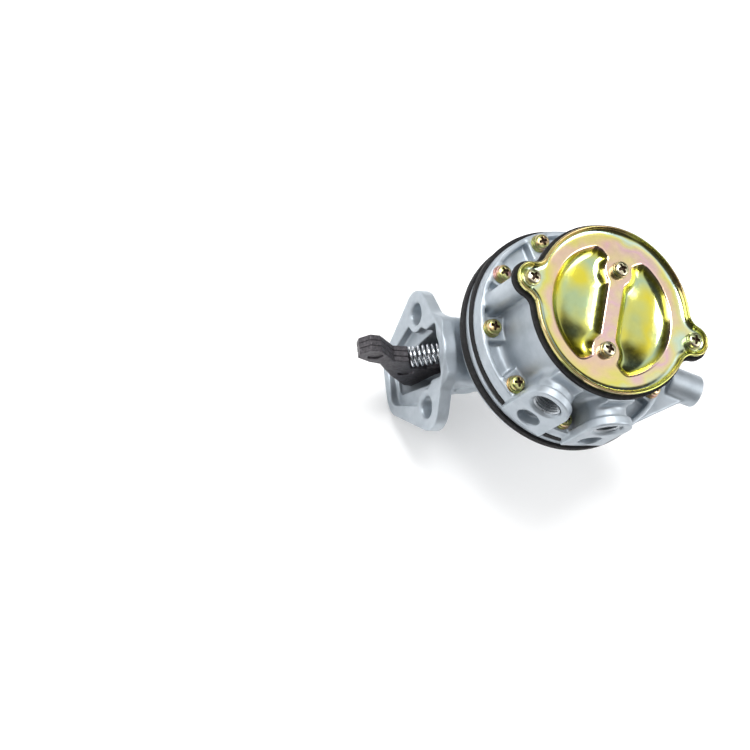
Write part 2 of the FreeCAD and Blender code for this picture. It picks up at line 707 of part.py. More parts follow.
def ear_blend(grow, angle, z):
    """Concave blends on both sides of an ear."""
    big = COVER_R + grow
    ear = EAR_R + grow
    bend = EAR_BLEND_R - grow
    span = EAR_CIRCLE_R
    reach_a = big + bend
    reach_b = ear + bend
    along = (reach_a ** 2 - reach_b ** 2 + span ** 2) / (2 * span)
    off = math.sqrt(reach_a ** 2 - along ** 2)
    touch_a = (along * big / reach_a, off * big / reach_a)
    share = bend / reach_b
    touch_b = (along + (span - along) * share, off - off * share)
    points = [(0, 0), touch_a, touch_b, (span, 0), (touch_b[0], -touch_b[1]), (touch_a[0], -touch_a[1])]
    patch = Part.Face(Part.makePolygon([in_xy(z)(AXIS_X + u, v) for u, v in points + [points[0]]]))
    patch = patch.extrude(V(0, 0, 1))
    for sign in (1, -1):
        patch = patch.cut(Part.makeCylinder(bend, 1, V(AXIS_X + along, sign * off, z)))
    patch.rotate(AXIS, Z_AXIS, angle)
    return patch


def outline_prism(grow, bottom, height):
    """Cover outline as a prism of a given height."""
    solid = cover_outline(grow, bottom)
    face = [f for f in solid.Faces if abs(f.CenterOfMass.z - bottom) < 1e-6][0]
    return face.extrude(V(0, 0, height))


def wall_shift(z, thick):
    """How far a sloping pocket wall has moved in from its place at the cover's face."""
    slope = math.radians(POCKET_SLOPE)
    return (COVER_FACE - z) / math.tan(slope) - thick / math.sin(slope)


def bar_island(thick, top, bottom):
    """Bar, screw pads and flared ends that stand between the pockets."""
    reach = POCKET_R + 4
    strip = []
    for z in (top, bottom):
        half = BAR_HALF_W + wall_shift(z, thick)
        strip += [(half, z), (-half, z)]
    strip = [strip[0], strip[1], strip[3], strip[2]]
    points = [V(AXIS_X - reach, v, z) for v, z in strip]
    solids = [Part.Face(Part.makePolygon(points + [points[0]])).extrude(V(2 * reach, 0, 0))]
    for side in (-1, 1):
        low_r = BAR_PAD_R + wall_shift(bottom, thick)
        top_r = BAR_PAD_R + wall_shift(top, thick)
        centre = V(AXIS_X + side * BAR_SCREW_R, 0, bottom)
        solids.append(Part.makeCone(low_r, top_r, top - bottom, centre))
        wires = []
        for z in (bottom, top):
            near = BAR_END_HALF_W + wall_shift(z, thick)
            far = near + BAR_END_FLARE * (reach - BAR_END_START)
            corners = [(BAR_END_START, near), (reach, far), (reach, -far), (BAR_END_START, -near)]
            points = [V(AXIS_X + side * u, v, z) for u, v in corners]
            wires.append(Part.makePolygon(points + [points[0]]))
        solids.append(Part.makeLoft(wires, True, True))
    island = solids[0].fuse(solids[1:])
    island.rotate(AXIS, Z_AXIS, COVER_DIR)
    return island


def pockets(thick, top):
    """The two pockets of the cover, grown downwards and outwards by a thickness."""
    floor = COVER_FACE - COVER_POCKET_DEPTH - thick
    wall_top = (POCKET_R - wall_shift(top, thick), top)
    corner = (POCKET_R - wall_shift(floor, thick), floor)
    middle = (0, floor - POCKET_DISH)
    start, crown, end = bend(wall_top, corner, middle, POCKET_BEND_R + thick)
    place = lambda r, z: V(AXIS_X + r, 0, z)
    wall = Part.LineSegment(place(*wall_top), place(*start)).toShape()
    foot = Part.Arc(place(*start), place(*crown), place(*end)).toShape()
    rest = Part.makePolygon([place(*end), place(*middle), place(0, top), place(*wall_top)])
    dish = Part.Face(Part.Wire([wall, foot] + rest.Edges)).revolve(AXIS, Z_AXIS, 360)
    return dish.cut(bar_island(thick, top, floor - POCKET_DISH - 1))


def cover():
    """Pressed cover: plate with ears, upturned lip and two sunk pockets."""
    plate = outline_prism(0, COVER_BOTTOM, COVER_T)
    lip = outline_prism(0, COVER_BOTTOM, LIP_H).cut(outline_prism(-LIP_T, COVER_BOTTOM, LIP_H))
    tray = fused([plate, lip])
    inside = [e for e in tray.Edges if abs(e.BoundBox.ZMin - COVER_FACE) + abs(e.BoundBox.ZMax - COVER_FACE) < 1e-4]
    tray = tray.makeFillet(LIP_BEND_R, inside)
    outside = [e for e in tray.Edges if e.BoundBox.ZMax < COVER_BOTTOM + 1e-4]
    tray = tray.makeFillet(LIP_BEND_R - LIP_T, outside)
    solid = fused([tray, pockets(COVER_T, COVER_FACE - COVER_T / 2)])
    solid = solid.cut(pockets(0, COVER_FACE + LIP_H))
    return solid.cut(holes(COVER_PLACES, SCREW_D / 2 + FREE_GAP, COVER_BOTTOM, COVER_T))


def cover_diaphragm():
    """Rubber sheet under the cover, moulded to clear the cover's pockets."""
    sheet = outline_prism(DIAPHRAGM_PROUD, BODY_TOP, COVER_DIAPHRAGM_T)
    bags = pockets(COVER_T + RUBBER_GAP + RUBBER_BAG_T, BODY_TOP + COVER_DIAPHRAGM_T / 2)
    solid = fused([sheet, bags]).cut(pockets(COVER_T + RUBBER_GAP, COVER_BOTTOM + COVER_T))
    return solid.cut(holes(COVER_PLACES, SCREW_D / 2 + FREE_GAP, BODY_TOP, COVER_DIAPHRAGM_T))


def arch(half_w, base, level, start, depth):
    """Slab with a square base and a round top, made looking along -X."""
    top = level
    pieces = [
        block(V(AXIS_X + start - depth, -half_w, base), V(AXIS_X + start, half_w, top)),
        rod(half_w, V(AXIS_X + start - depth, 0, level), X_AXIS, depth),
    ]
    return pieces[0].fuse(pieces[1])


def port_solids():
    """Port block: face plate, narrower neck and the rib above it."""
    plate = arch(PORT_HALF_W, PORT_BASE, PORT_LEVEL, PORT_FACE, PORT_PLATE_T)
    stem = arch(PORT_NECK_HALF_W, BODY_BOTTOM, PORT_LEVEL, PORT_FACE - 1, PORT_FACE - DRUM_R + 5)
    rib = block(
        V(AXIS_X + DRUM_R - 4, -PORT_NECK_HALF_W + 2, PORT_LEVEL),
        V(AXIS_X + DRUM_R + 4.0, PORT_NECK_HALF_W - 2, BODY_TOP),
    )
    return fused([plate, stem, rib])


def port_cuts():
    """Threaded hole, its chamfer, the passage behind it and the blank hole."""
    face = V(AXIS_X + PORT_FACE, 0, PORT_LEVEL)
    inward = V(-1, 0, 0)
    return [
        rod(PORT_THREAD_R, face, inward, PORT_THREAD_LENGTH),
        Part.makeCone(PORT_THREAD_R + PORT_CHAMFER, PORT_THREAD_R, PORT_CHAMFER, face, inward),
        rod(PORT_PASSAGE_R, face, inward, PORT_FACE - DRUM_R + DRUM_WALL + 4),
        rod(BLANK_HOLE_R, V(AXIS_X + PORT_FACE, 0, BLANK_LEVEL), inward, BLANK_HOLE_DEPTH),
    ]


def screw_pad():
    """Pad under one flange screw, from the drum to the rim."""
    pad = block(V(AXIS_X + DRUM_R - 2, -PAD_HALF_W, BODY_BOTTOM), V(AXIS_X + BODY_FLANGE_R - 1, PAD_HALF_W, SCREW_SEAT))
    return pad.common(rod(BODY_FLANGE_R - 0.5, V(AXIS_X, 0, BODY_BOTTOM), Z_AXIS, BODY_FLANGE_T))


def valve_body():
    """Die-cast valve body: rimmed flange, drum, ear columns and two port blocks."""
    floor = BODY_BOTTOM + BODY_FLOOR_T
    fillet = [(DRUM_R, floor + DRUM_FILLET)]
    for i in range(1, 5):
        turn = math.radians(90.0 * i / 4)
        fillet.append((DRUM_R + DRUM_FILLET * (1 - math.cos(turn)), floor + DRUM_FILLET * (1 - math.sin(turn))))
    shell = turned(
        [(0, BODY_BOTTOM), (BODY_FLANGE_R, BODY_BOTTOM), (BODY_FLANGE_R, SCREW_SEAT - 0.4),
         (BODY_FLANGE_R - 0.4, SCREW_SEAT), (BODY_FLANGE_R - RIM_W, SCREW_SEAT), (BODY_FLANGE_R - RIM_W - 0.6, floor)]
        + list(reversed(fillet)) + [(DRUM_R, BODY_TOP), (0, BODY_TOP)]
    )
    pieces = [shell]
    for i in range(FLANGE_SCREWS):
        pieces.append(turned_to(screw_pad(), i * 360.0 / FLANGE_SCREWS))
    for angle in EAR_DIRS:
        pieces.append(rod(EAR_COLUMN_R, polar(EAR_CIRCLE_R, angle, BODY_BOTTOM), Z_AXIS, BODY_HEIGHT))
        web = block(V(AXIS_X + DRUM_R - 2, -4.0, BODY_BOTTOM), V(AXIS_X + EAR_CIRCLE_R, 4.0, BODY_TOP))
        pieces.append(turned_to(web, angle))
    for angle in PORT_DIRS:
        pieces.append(turned_to(port_solids(), angle))
    body = fused(pieces)
    inner_r = DRUM_R - DRUM_WALL
    pump_side = turned([
        (0, BODY_BOTTOM), (CHAMBER_R, BODY_BOTTOM), (CHAMBER_R, BODY_BOTTOM + 1.2), (inner_r, BODY_BOTTOM + 4.0),
        (inner_r, CEILING), (0, CEILING),
    ])
    upper = rod(inner_r, V(AXIS_X, 0, CHAMBER_FLOOR), Z_AXIS, BODY_TOP - CHAMBER_FLOOR)
    web = block(V(AXIS_X - inner_r - 1, -WEB_HALF_W, CHAMBER_FLOOR), V(AXIS_X + inner_r + 1, WEB_HALF_W, BODY_TOP))
    keep = [turned_to(web, COVER_DIR)]
    keep += holes(COVER_PLACES[2:], BAR_BOSS_R, CHAMBER_FLOOR, BODY_TOP - CHAMBER_FLOOR)
    keep.append(rod(INLET_BOSS_R, V(INLET_AT.x, INLET_AT.y, CHAMBER_FLOOR), Z_AXIS, INLET_BOSS_H))
    upper = upper.cut(keep)
    body = body.cut([pump_side, upper])
    rim_gap = UPPER_DIAPHRAGM_R + SLIDE_GAP
    cuts = [rod(rim_gap, V(AXIS_X, 0, PORT_BASE), Z_AXIS, BODY_BOTTOM - PORT_BASE)]
    for angle in PORT_DIRS:
        cuts += [turned_to(c, angle) for c in port_cuts()]
    cuts += holes(FLANGE_PLACES, SCREW_D / 2 + FREE_GAP, BODY_BOTTOM, BODY_FLANGE_T)
    depth = COVER_SCREW_LENGTH - COVER_T - COVER_DIAPHRAGM_T + 1.0
    cuts += holes(COVER_PLACES, SCREW_D / 2 + PRESS_GAP, BODY_TOP - depth, depth)
    cuts.append(rod(VALVE_R + PRESS_GAP, V(INLET_AT.x, INLET_AT.y, CEILING), Z_AXIS, CHAMBER_FLOOR_T + INLET_BOSS_H))
    cuts.append(rod(VALVE_R + PRESS_GAP, V(OUTLET_AT.x, OUTLET_AT.y, CEILING), Z_AXIS, CHAMBER_FLOOR_T))
    return body.cut(cuts)


def valve(at, seat_level, up):
    """One check valve: seat with its stem, disc and spring, opening up or down."""
    s = 1 if up else -1
    base = V(at.x, at.y, seat_level)
    axis = V(0, 0, s)
    seat = rod(VALVE_R, base - axis * VALVE_SEAT_T, axis, VALVE_SEAT_T)
    seat = seat.cut(
        [rod(VALVE_HOLE_R, base - axis * VALVE_SEAT_T + heading(360.0 * i / VALVE_HOLES) * VALVE_HOLE_CIRCLE,
             axis, VALVE_SEAT_T) for i in range(VALVE_HOLES)]
    )
    stem = rod(VALVE_STEM_R, base - axis, axis, VALVE_STEM_LENGTH + 1)
    cap = rod(VALVE_CAP_R, base + axis * (VALVE_STEM_LENGTH - VALVE_CAP_T), axis, VALVE_CAP_T)
    seat = fused([seat, stem, cap])
    low = base + axis * DISC_GAP
    disc = rod(DISC_R, low, axis, DISC_T).cut(rod(VALVE_STEM_R + RUNNING_GAP, low, axis, DISC_T))
    start = low + axis * DISC_T
    length = VALVE_STEM_LENGTH - VALVE_CAP_T - DISC_GAP - DISC_T
    spring = coil(VALVE_SPRING_R, VALVE_WIRE_R, VALVE_SPRING_TURNS, length, start, axis)
    return seat, disc, spring


def screw(at, seat_z, length):
    """Pan-head screw with a cross recess, its head resting at a level."""
    half = SCREW_HEAD_D / 2
    head = turned([
        (0, 0), (half, 0), (half, SCREW_HEAD_H * 0.45), (half * 0.86, SCREW_HEAD_H * 0.82),
        (half * 0.55, SCREW_HEAD_H), (0, SCREW_HEAD_H),
    ], V(at.x, at.y, seat_z))
    shank = rod(SCREW_D / 2, V(at.x, at.y, seat_z - length), Z_AXIS, length)
    bottom = seat_z + SCREW_HEAD_H - DRIVE_DEPTH
    span = DRIVE_SPAN / 2
    arm = DRIVE_W / 2
    slot_x = block(V(at.x - span, at.y - arm, bottom), V(at.x + span, at.y + arm, bottom + 3))
    slot_y = block(V(at.x - arm, at.y - span, bottom), V(at.x + arm, at.y + span, bottom + 3))
    return head.fuse(shank).cut([slot_x, slot_y])


def washer(at, bottom, outer, thick):
    """Plain washer round a screw."""
    return ring(outer / 2, SCREW_D / 2 + PRESS_GAP, bottom, thick, at)


def lock_washer(at, bottom):
    """Spring washer with its slit."""
    whole = washer(at, bottom, LOCK_D, LOCK_T)
    slit = block(V(at.x, at.y - LOCK_SLIT / 2, bottom), V(at.x + LOCK_D, at.y + LOCK_SLIT / 2, bottom + LOCK_T))
    return whole.cut(slit)


def build():
    """All sub-parts by node name."""
    nodes = {"rocker_housing": housing()}
    nodes.update(rocker_plates())
    nodes["rocker_rivets"] = rocker_rivets()
    nodes["pivot_pin"] = rod(PIN_R, V(PIVOT_X, -PIN_LENGTH / 2, PIVOT_Z), Y_AXIS, PIN_LENGTH)
    nodes["pivot_plug"] = rod(PLUG_R, V(PIVOT_X, PIN_BOSS_Y - PLUG_T, PIVOT_Z), Y_AXIS, PLUG_T)
    nodes["pivot_washers"] = pivot_washers()
    start = V(SPRING_SEAT_ARM[0], 0, SPRING_SEAT_ARM[1])
    nodes["return_spring"] = coil(
        SPRING_MEAN_R, SPRING_WIRE_R, SPRING_TURNS, SPRING_LENGTH, start, spring_direction()
    )
    nodes["pull_rod"] = pull_rod()
    nodes["seal_retainer"], nodes["rod_seal"] = seal_parts()
    bottom = BOWL_FLOOR + RETAINER_T
    length = LOWER_WEB_Z - CLAMP_T - bottom
    nodes["diaphragm_spring"] = coil(
        MAIN_SPRING_R, MAIN_WIRE_R, MAIN_TURNS, length, V(AXIS_X, 0, bottom), Z_AXIS
    )
    nodes["lower_plate"] = clamp_plate(LOWER_WEB_Z - CLAMP_T, False)
    nodes["lower_diaphragm"] = diaphragm(HOUSING_TOP, LOWER_RIM_T, LOWER_WEB_Z, LOWER_DIAPHRAGM_R)
    gap_bottom = LOWER_WEB_Z + WEB_T
    nodes["hub_spacer"] = ring(HUB_SPACER_R, ROD_TIP_R + PRESS_GAP, gap_bottom, UPPER_WEB_Z - gap_bottom)
    nodes["spacer_ring"] = spacer()
    nodes["upper_diaphragm"] = diaphragm(SPACER_TOP, UPPER_RIM_T, UPPER_WEB_Z, UPPER_DIAPHRAGM_R)
    nodes["upper_plate"] = clamp_plate(UPPER_WEB_Z + WEB_T, True)
    nodes["rod_nut"] = nut()
    nodes["valve_body"] = valve_body()
    inlet = valve(INLET_AT, CHAMBER_FLOOR + INLET_BOSS_H - VALVE_SEAT_T, False)
    outlet = valve(OUTLET_AT, CHAMBER_FLOOR, True)
    for name, parts in (("inlet", inlet), ("outlet", outlet)):
        nodes[name + "_valve_seat"], nodes[name + "_valve_disc"], nodes[name + "_valve_spring"] = parts
    nodes["cover_diaphragm"] = cover_diaphragm()
    nodes["cover"] = cover()
    lock_z = SCREW_SEAT + WASHER_T
    nodes["flange_washers"] = Part.makeCompound([washer(p, SCREW_SEAT, WASHER_D, WASHER_T) for p in FLANGE_PLACES])
    nodes["flange_lock_washers"] = Part.makeCompound([lock_washer(p, lock_z) for p in FLANGE_PLACES])
    nodes["flange_screws"] = Part.makeCompound([screw(p, lock_z + LOCK_T, SCREW_LENGTH) for p in FLANGE_PLACES])
    nodes["cover_lock_washers"] = Part.makeCompound([lock_washer(p, COVER_FACE) for p in COVER_PLACES])
    nodes["cover_screws"] = Part.makeCompound(
        [screw(p, COVER_FACE + LOCK_T, COVER_SCREW_LENGTH + LOCK_T) for p in COVER_PLACES]
    )
    return nodes


os.makedirs("parts", exist_ok=True)
for node, shape in build().items():
    shape.exportStep("parts/" + node + ".step")
    print(node, len(shape.Solids), "solid(s)", round(shape.Volume), "mm3", "valid" if shape.isValid() else "INVALID")
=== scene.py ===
"""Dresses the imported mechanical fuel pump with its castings, plating, rubber and screws."""

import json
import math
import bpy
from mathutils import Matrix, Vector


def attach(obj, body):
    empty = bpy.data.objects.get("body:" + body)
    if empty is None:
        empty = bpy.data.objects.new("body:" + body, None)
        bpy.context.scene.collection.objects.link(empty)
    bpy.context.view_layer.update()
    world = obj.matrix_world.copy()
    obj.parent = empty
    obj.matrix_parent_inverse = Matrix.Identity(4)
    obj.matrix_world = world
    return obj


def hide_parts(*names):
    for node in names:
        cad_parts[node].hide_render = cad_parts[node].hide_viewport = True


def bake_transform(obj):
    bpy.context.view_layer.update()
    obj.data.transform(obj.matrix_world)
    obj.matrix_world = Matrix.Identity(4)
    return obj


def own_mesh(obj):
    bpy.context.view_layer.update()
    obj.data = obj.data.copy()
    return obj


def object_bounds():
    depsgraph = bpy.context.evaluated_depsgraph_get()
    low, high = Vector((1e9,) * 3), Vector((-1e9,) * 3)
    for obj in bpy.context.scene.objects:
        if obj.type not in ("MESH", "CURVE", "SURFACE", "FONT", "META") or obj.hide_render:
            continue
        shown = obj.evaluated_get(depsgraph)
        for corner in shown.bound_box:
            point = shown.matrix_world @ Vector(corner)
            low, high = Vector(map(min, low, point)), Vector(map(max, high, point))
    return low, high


bl_info = {
    "name": "Mechanical fuel pump dresser",
    "version": (1, 0, 0),
    "blender": (4, 5, 0),
    "location": "View3D > Sidebar > Fuel pump",
    "description": "Builds the visible pieces and finishes of a rocker-arm fuel pump on its packed frame",
    "category": "Object",
}

import bpy
import numpy as np
import openvdb
from bpy.props import FloatProperty, FloatVectorProperty, PointerProperty
from mathutils import Matrix, Vector

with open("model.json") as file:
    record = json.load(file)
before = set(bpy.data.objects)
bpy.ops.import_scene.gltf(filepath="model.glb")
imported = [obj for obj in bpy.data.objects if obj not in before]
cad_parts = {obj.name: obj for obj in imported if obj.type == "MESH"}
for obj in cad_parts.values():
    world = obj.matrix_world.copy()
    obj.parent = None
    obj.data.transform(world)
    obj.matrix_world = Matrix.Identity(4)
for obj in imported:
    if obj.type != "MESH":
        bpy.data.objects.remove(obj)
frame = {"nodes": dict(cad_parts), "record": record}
CAD_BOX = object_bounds()

MM = 0.001
ROOT = "pump_body"
ARM = "rocker_arm"
STACK = "diaphragm_stack"

# Levels and radii of the stack, in millimetres, about the diaphragm axis
AXIS_X = 56.3
HOUSING_TOP = 32.4
SPACER_BOTTOM = 35.9
SPACER_TOP = 39.5
BODY_BOTTOM = 42.7
SCREW_SEAT = 49.7
BODY_TOP = 79.7
COVER_BOTTOM = 81.7
COVER_FACE = 82.7
BODY_FLANGE_R = 50.4
SPACER_R = 50.9
LOWER_DIAPHRAGM_R = 52.1
UPPER_DIAPHRAGM_R = 50.8
CHAMBER_R = 40.6
DRUM_R = 38.5
COVER_DIR = 252.0
EAR_DIRS = (COVER_DIR - 90, COVER_DIR + 90)
EAR_CIRCLE_R = 43.0
COVER_R = 40.4
COVER_EAR_R = 7.4
COVER_EAR_BEND = 7.0
BAR_SCREW_R = 20.4
BAR_HALF_W = 3.6
BAR_PAD_R = 6.9
# The bar flares out from here to its ends, by this slope
BAR_FLARE_START = 22.5
BAR_FLARE_HALF_W = 3.2
BAR_FLARE = 1.19
POCKET_R = 31.4
POCKET_SLOPE = 50.0
POCKET_EDGE = 0.5
POCKET_DISH = 2.0
DISH_REACH = 10.4
PORT_DIRS = (COVER_DIR - 18.5, COVER_DIR + 18.5)
PORT_LEVEL = 65.0
PORT_FACE = 52.0
PORT_HOLE_R = 6.6
PORT_HOLE_DEPTH = 12.5
PASSAGE_R = 4.4
BLANK_LEVEL = 48.8
BLANK_R = 5.5
BLANK_DEPTH = 5.0
EAR_COLUMN_R = 5.4
SCREW_CIRCLE_R = 45.2
SCREW_COUNT = 10
SKIRT_R = 50.9
VALVE_CHAMBER_R = 35.0
VENT_DIR = 342.0
VENT_BOSS_R = 7.85
VENT_FACE = 74.0
VENT_HOLE_R = 4.3
VENT_PASSAGE_R = 1.2
# Outline of the lug that carries the vent boss, along and across its direction
VENT_LUG = ((36.9, 33.0), (58.0, 7.07), (68.0, 7.07), (68.0, -7.07), (34.9, -35.0))

# Rubber, thickness and the places where it changes, in millimetres
RUBBER_T = 1.4
ROD_R = 3.02
WEB_EDGE_R = 30.0
# Play between the web, which moves with the rod, and the clamped convolution
WEB_GAP = 0.25
LOWER_WEB = HOUSING_TOP + 1.2
UPPER_WEB = SPACER_TOP + 0.9
# The upper diaphragm's edge stands proud on the side of this direction, in degrees
PROUD_DIR = 110.0
PROUD_BY = 1.9

# Mounting flange, neck and bowl, in millimetres from the mounting face
BOLT_SIDES = (-23.0, 23.0)
BOLT_HOLE_R = 5.2
BOLT_BOSS_R = 8.8
MOUNT_T = 6.5
MOUNT_POCKET = 4.2
NECK_END = 71
NECK_WALL = 3.5
NECK_TOP_R = 5.0
# Places along the neck, and there: the upper corners' Y and Z, then the lower corners' Y, Z and radius
NECK_PLACES = (0.0, 6.0, 34.0, 65.0, NECK_END)
NECK_CORNERS = (
    (11.4, 11.4, 12.5, 9.0, 5.0),
    (16.5, 16.5, 12.0, 8.0, 7.0),
    (4.5, 4.5, 3.5, 4.0, 2.0),
    (-28.5, -28.5, -13.0, -14.5, -9.0),
    (7.0, 7.0, 6.5, 5.5, 5.0),
)
# Corner circles of the mounting flange and of its pocket: Y, Z and radius
MOUNT_CORNERS = [
    (0.5, 11.0, 13.3), (-23.0, 1.0, 11.4), (-9.5, -28.0, 9.4), (8.5, -29.3, 8.2), (23.0, 0.0, 11.2),
]
POCKET_CORNERS = [
    (0.5, 11.0, 8.4), (-15.5, -4.0, 5.5), (-8.0, -27.8, 5.7), (6.8, -29.0, 4.5), (16.0, -5.0, 4.5),
]
HOUSING_R = 49.0
HOUSING_FLANGE_BOTTOM = 26.9
# A bowl's foot radius and floor level, and the run and rise of its cone
BOWL_OUTSIDE = (20.0, 10.5, 22.6, 15.9)
BOWL_INSIDE = (22.0, 14.0, 15.6, 13.4)

# Rocker arm and its pivot, in millimetres along X and Z
PIVOT_X, PIVOT_Z = 18.5, 6.5
PIVOT_BOSS_R = 5.0
PIVOT_BORE_R = 3.02
PLATE_T = 2.6
LEVER_DROP = 8.0
MIDDLE_PLATE_END = 48.0
RIVETS = ((-31.0, 14.2), (-4.3, -8.4))
RIVET_R = 2.2
# Outline of a rocker plate
ARM_CORNERS = (
    (-40.5, 17.0), (-37.3, 23.2), (-31.8, 22.4), (-18.5, 9.0), (-11.0, 8.8), (-5.2, -0.9), (4.0, -1.0),
    (12.0, 3.4), (17.0, 2.5), (12.2, -9.0), (9.2, -28.4), (4.0, -27.0), (-9.4, -13.8), (-23.8, 3.6),
    (-30.5, 5.8), (-38.6, 11.0),
)

# Springs: mean radius, wire radius and turns; the return spring's line lies in the XZ plane
RETURN_SPRING = (4.3, 0.72, 7.5)
MAIN_SPRING = (14.0, 1.1, 4.0)
VALVE_SPRING = (2.5, 0.3, 4.0)
SPRING_DIR = (0.8387, 0.5446)
SPRING_START = (-7.9, 4.2)
SPRING_LENGTH = 17
SPRING_END = tuple(start + SPRING_LENGTH * way for start, way in zip(SPRING_START, SPRING_DIR))
# Levels of the main spring's plate and cup, and of each valve spring's disc and cap
MAIN_SPRING_LEVELS = (32.1, 14.8)
VALVE_SPRING_LEVELS = ((56.7, 52.3), (56.3, 60.7))
VALVE_CIRCLE_R = 19.0

# Mesh steps of the smaller solids
RING_STEP = 0.5
PLATE_STEP = 0.32
SCREW_STEP = 0.12

# Washers: bore radius, outer radius, thickness and slit
LOCK_WASHER = (2.42, 4.0, 1.15, 0.7)
FLAT_WASHER = (2.42, 4.3, 0.9, 0.0)
LOCK_SEAT = 1.2
FLANGE_SCREW_LENGTH = 21.0
COVER_SCREW_LENGTH = 13.2

# Screw heads: crown radius, cross recess and shank
PAN_CROWN_R = 7.5
RECESS_HALF_W = 0.68
RECESS_REACH = 2.4
RECESS_DEPTH = 1.9
SHANK_R = 2.4


# Small tools for numbers, nodes and meshes


def linear(hex_colour):
    """Linear RGBA from an sRGB hex colour."""
    raw = [int(hex_colour[i:i + 2], 16) / 255 for i in (1, 3, 5)]
    return [c / 12.92 if c <= 0.04045 else ((c + 0.055) / 1.055) ** 2.4 for c in raw] + [1.0]


def node(tree, kind, settings=None, inputs=None, stops=()):
    """Adds one shader node with its settings, its links or input values, and a colour ramp's stops."""
    made = tree.nodes.new(kind)
    for name, value in (settings or {}).items():
        setattr(made, name, value)
    for name, value in (inputs or {}).items():
        if isinstance(value, bpy.types.NodeSocket):
            tree.links.new(value, made.inputs[name])
        else:
            made.inputs[name].default_value = value
    if stops:
        elements = made.color_ramp.elements
        while len(elements) < len(stops):
            elements.new(0.5)
        for element, (place, colour) in zip(elements, stops):
            element.position = place
            element.color = colour
    return made


def substance(name, patterns=None, stops=(), gloss=0.5, relief=(), metallic=0.0, apart=False):
    """Material that noise patterns vary: its colour stops, its gloss and its relief.

    A pattern is (feature size in millimetres, detail, roughness). The pattern named colour drives the stops,
    and the one named gloss drives a range of roughness. Relief is a list of (pattern, depth in millimetres,
    strength). With apart, each object takes its own place in the patterns.
    """
    made = bpy.data.materials.new(name)
    made.use_nodes = True
    tree = made.node_tree
    tree.nodes.clear()
    shader = node(tree, "ShaderNodeBsdfPrincipled")
    node(tree, "ShaderNodeOutputMaterial", inputs={"Surface": shader.outputs["BSDF"]})
    place = node(tree, "ShaderNodeTexCoord").outputs["Object"]
    if apart:
        inputs = {0: place, 1: node(tree, "ShaderNodeObjectInfo").outputs["Location"]}
        place = node(tree, "ShaderNodeVectorMath", {"operation": "ADD"}, inputs).outputs["Vector"]
    levels = {"place": place}
    for key, (size_mm, detail, roughness) in (patterns or {}).items():
        inputs = {"Vector": place, "Scale": 1 / (size_mm * MM), "Detail": detail, "Roughness": roughness}
        levels[key] = node(tree, "ShaderNodeTexNoise", inputs=inputs).outputs["Fac"]
    if stops:
        drift = node(tree, "ShaderNodeValToRGB", inputs={"Fac": levels["colour"]}, stops=stops)
        tree.links.new(drift.outputs["Color"], shader.inputs["Base Color"])
    if "gloss" in levels:
        low, high = gloss
        inputs = {"Value": levels["gloss"], "From Min": 0.3, "From Max": 0.7, "To Min": low, "To Max": high}
        spread = node(tree, "ShaderNodeMapRange", inputs=inputs).outputs["Result"]
        tree.links.new(spread, shader.inputs["Roughness"])
    else:
        shader.inputs["Roughness"].default_value = gloss
    for key, depth_mm, strength in relief:
        inputs = {"Height": levels[key], "Distance": depth_mm * MM, "Strength": strength}
        if "normal" in levels:
            inputs["Normal"] = levels["normal"]
        levels["normal"] = node(tree, "ShaderNodeBump", inputs=inputs).outputs["Normal"]
        tree.links.new(levels["normal"], shader.inputs["Normal"])
    shader.inputs["Metallic"].default_value = metallic
    return made, tree, shader, levels


def linear_stops(stops):
    """Colour stops with their sRGB hex colours made linear."""
    return [(place, linear(colour)) for place, colour in stops]


def polar(radius, angle, z=0.0):
    """Point in millimetres at a radius and angle about the diaphragm axis."""
    turn = math.radians(angle)
    return (AXIS_X + radius * math.cos(turn), radius * math.sin(turn), z)


def mesh_object(name, points, faces, material, smooth=True):
    """Object from points in millimetres and faces given as arrays or lists."""
    mesh = bpy.data.meshes.new(name)
    mesh.from_pydata((np.asarray(points, float) * MM).tolist(), [], [tuple(int(i) for i in f) for f in faces])
    mesh.validate()
    mesh.polygons.foreach_set("use_smooth", [smooth] * len(mesh.polygons))
    mesh.materials.append(material)
    made = bpy.data.objects.new(name, mesh)
    bpy.context.scene.collection.objects.link(made)
    return made


def apply_modifiers(piece):
    """Turns a piece's modifiers into its mesh."""
    graph = bpy.context.evaluated_depsgraph_get()
    baked = bpy.data.meshes.new_from_object(piece.evaluated_get(graph))
    piece.modifiers.clear()
    piece.data = baked
    return piece


def modifier(piece, kind, **settings):
    """Adds one modifier with its settings."""
    made = piece.modifiers.new(kind.title(), kind)
    for name, value in settings.items():
        setattr(made, name, value)
    return made


def seat(piece, body, slot, *nodes):
    """Hangs a piece on its body and hides the plain nodes it stands for."""
    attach(piece, body)
    if nodes:
        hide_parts(*nodes)
    return piece


# Castings: solids written as distances in millimetres and meshed at a chosen step


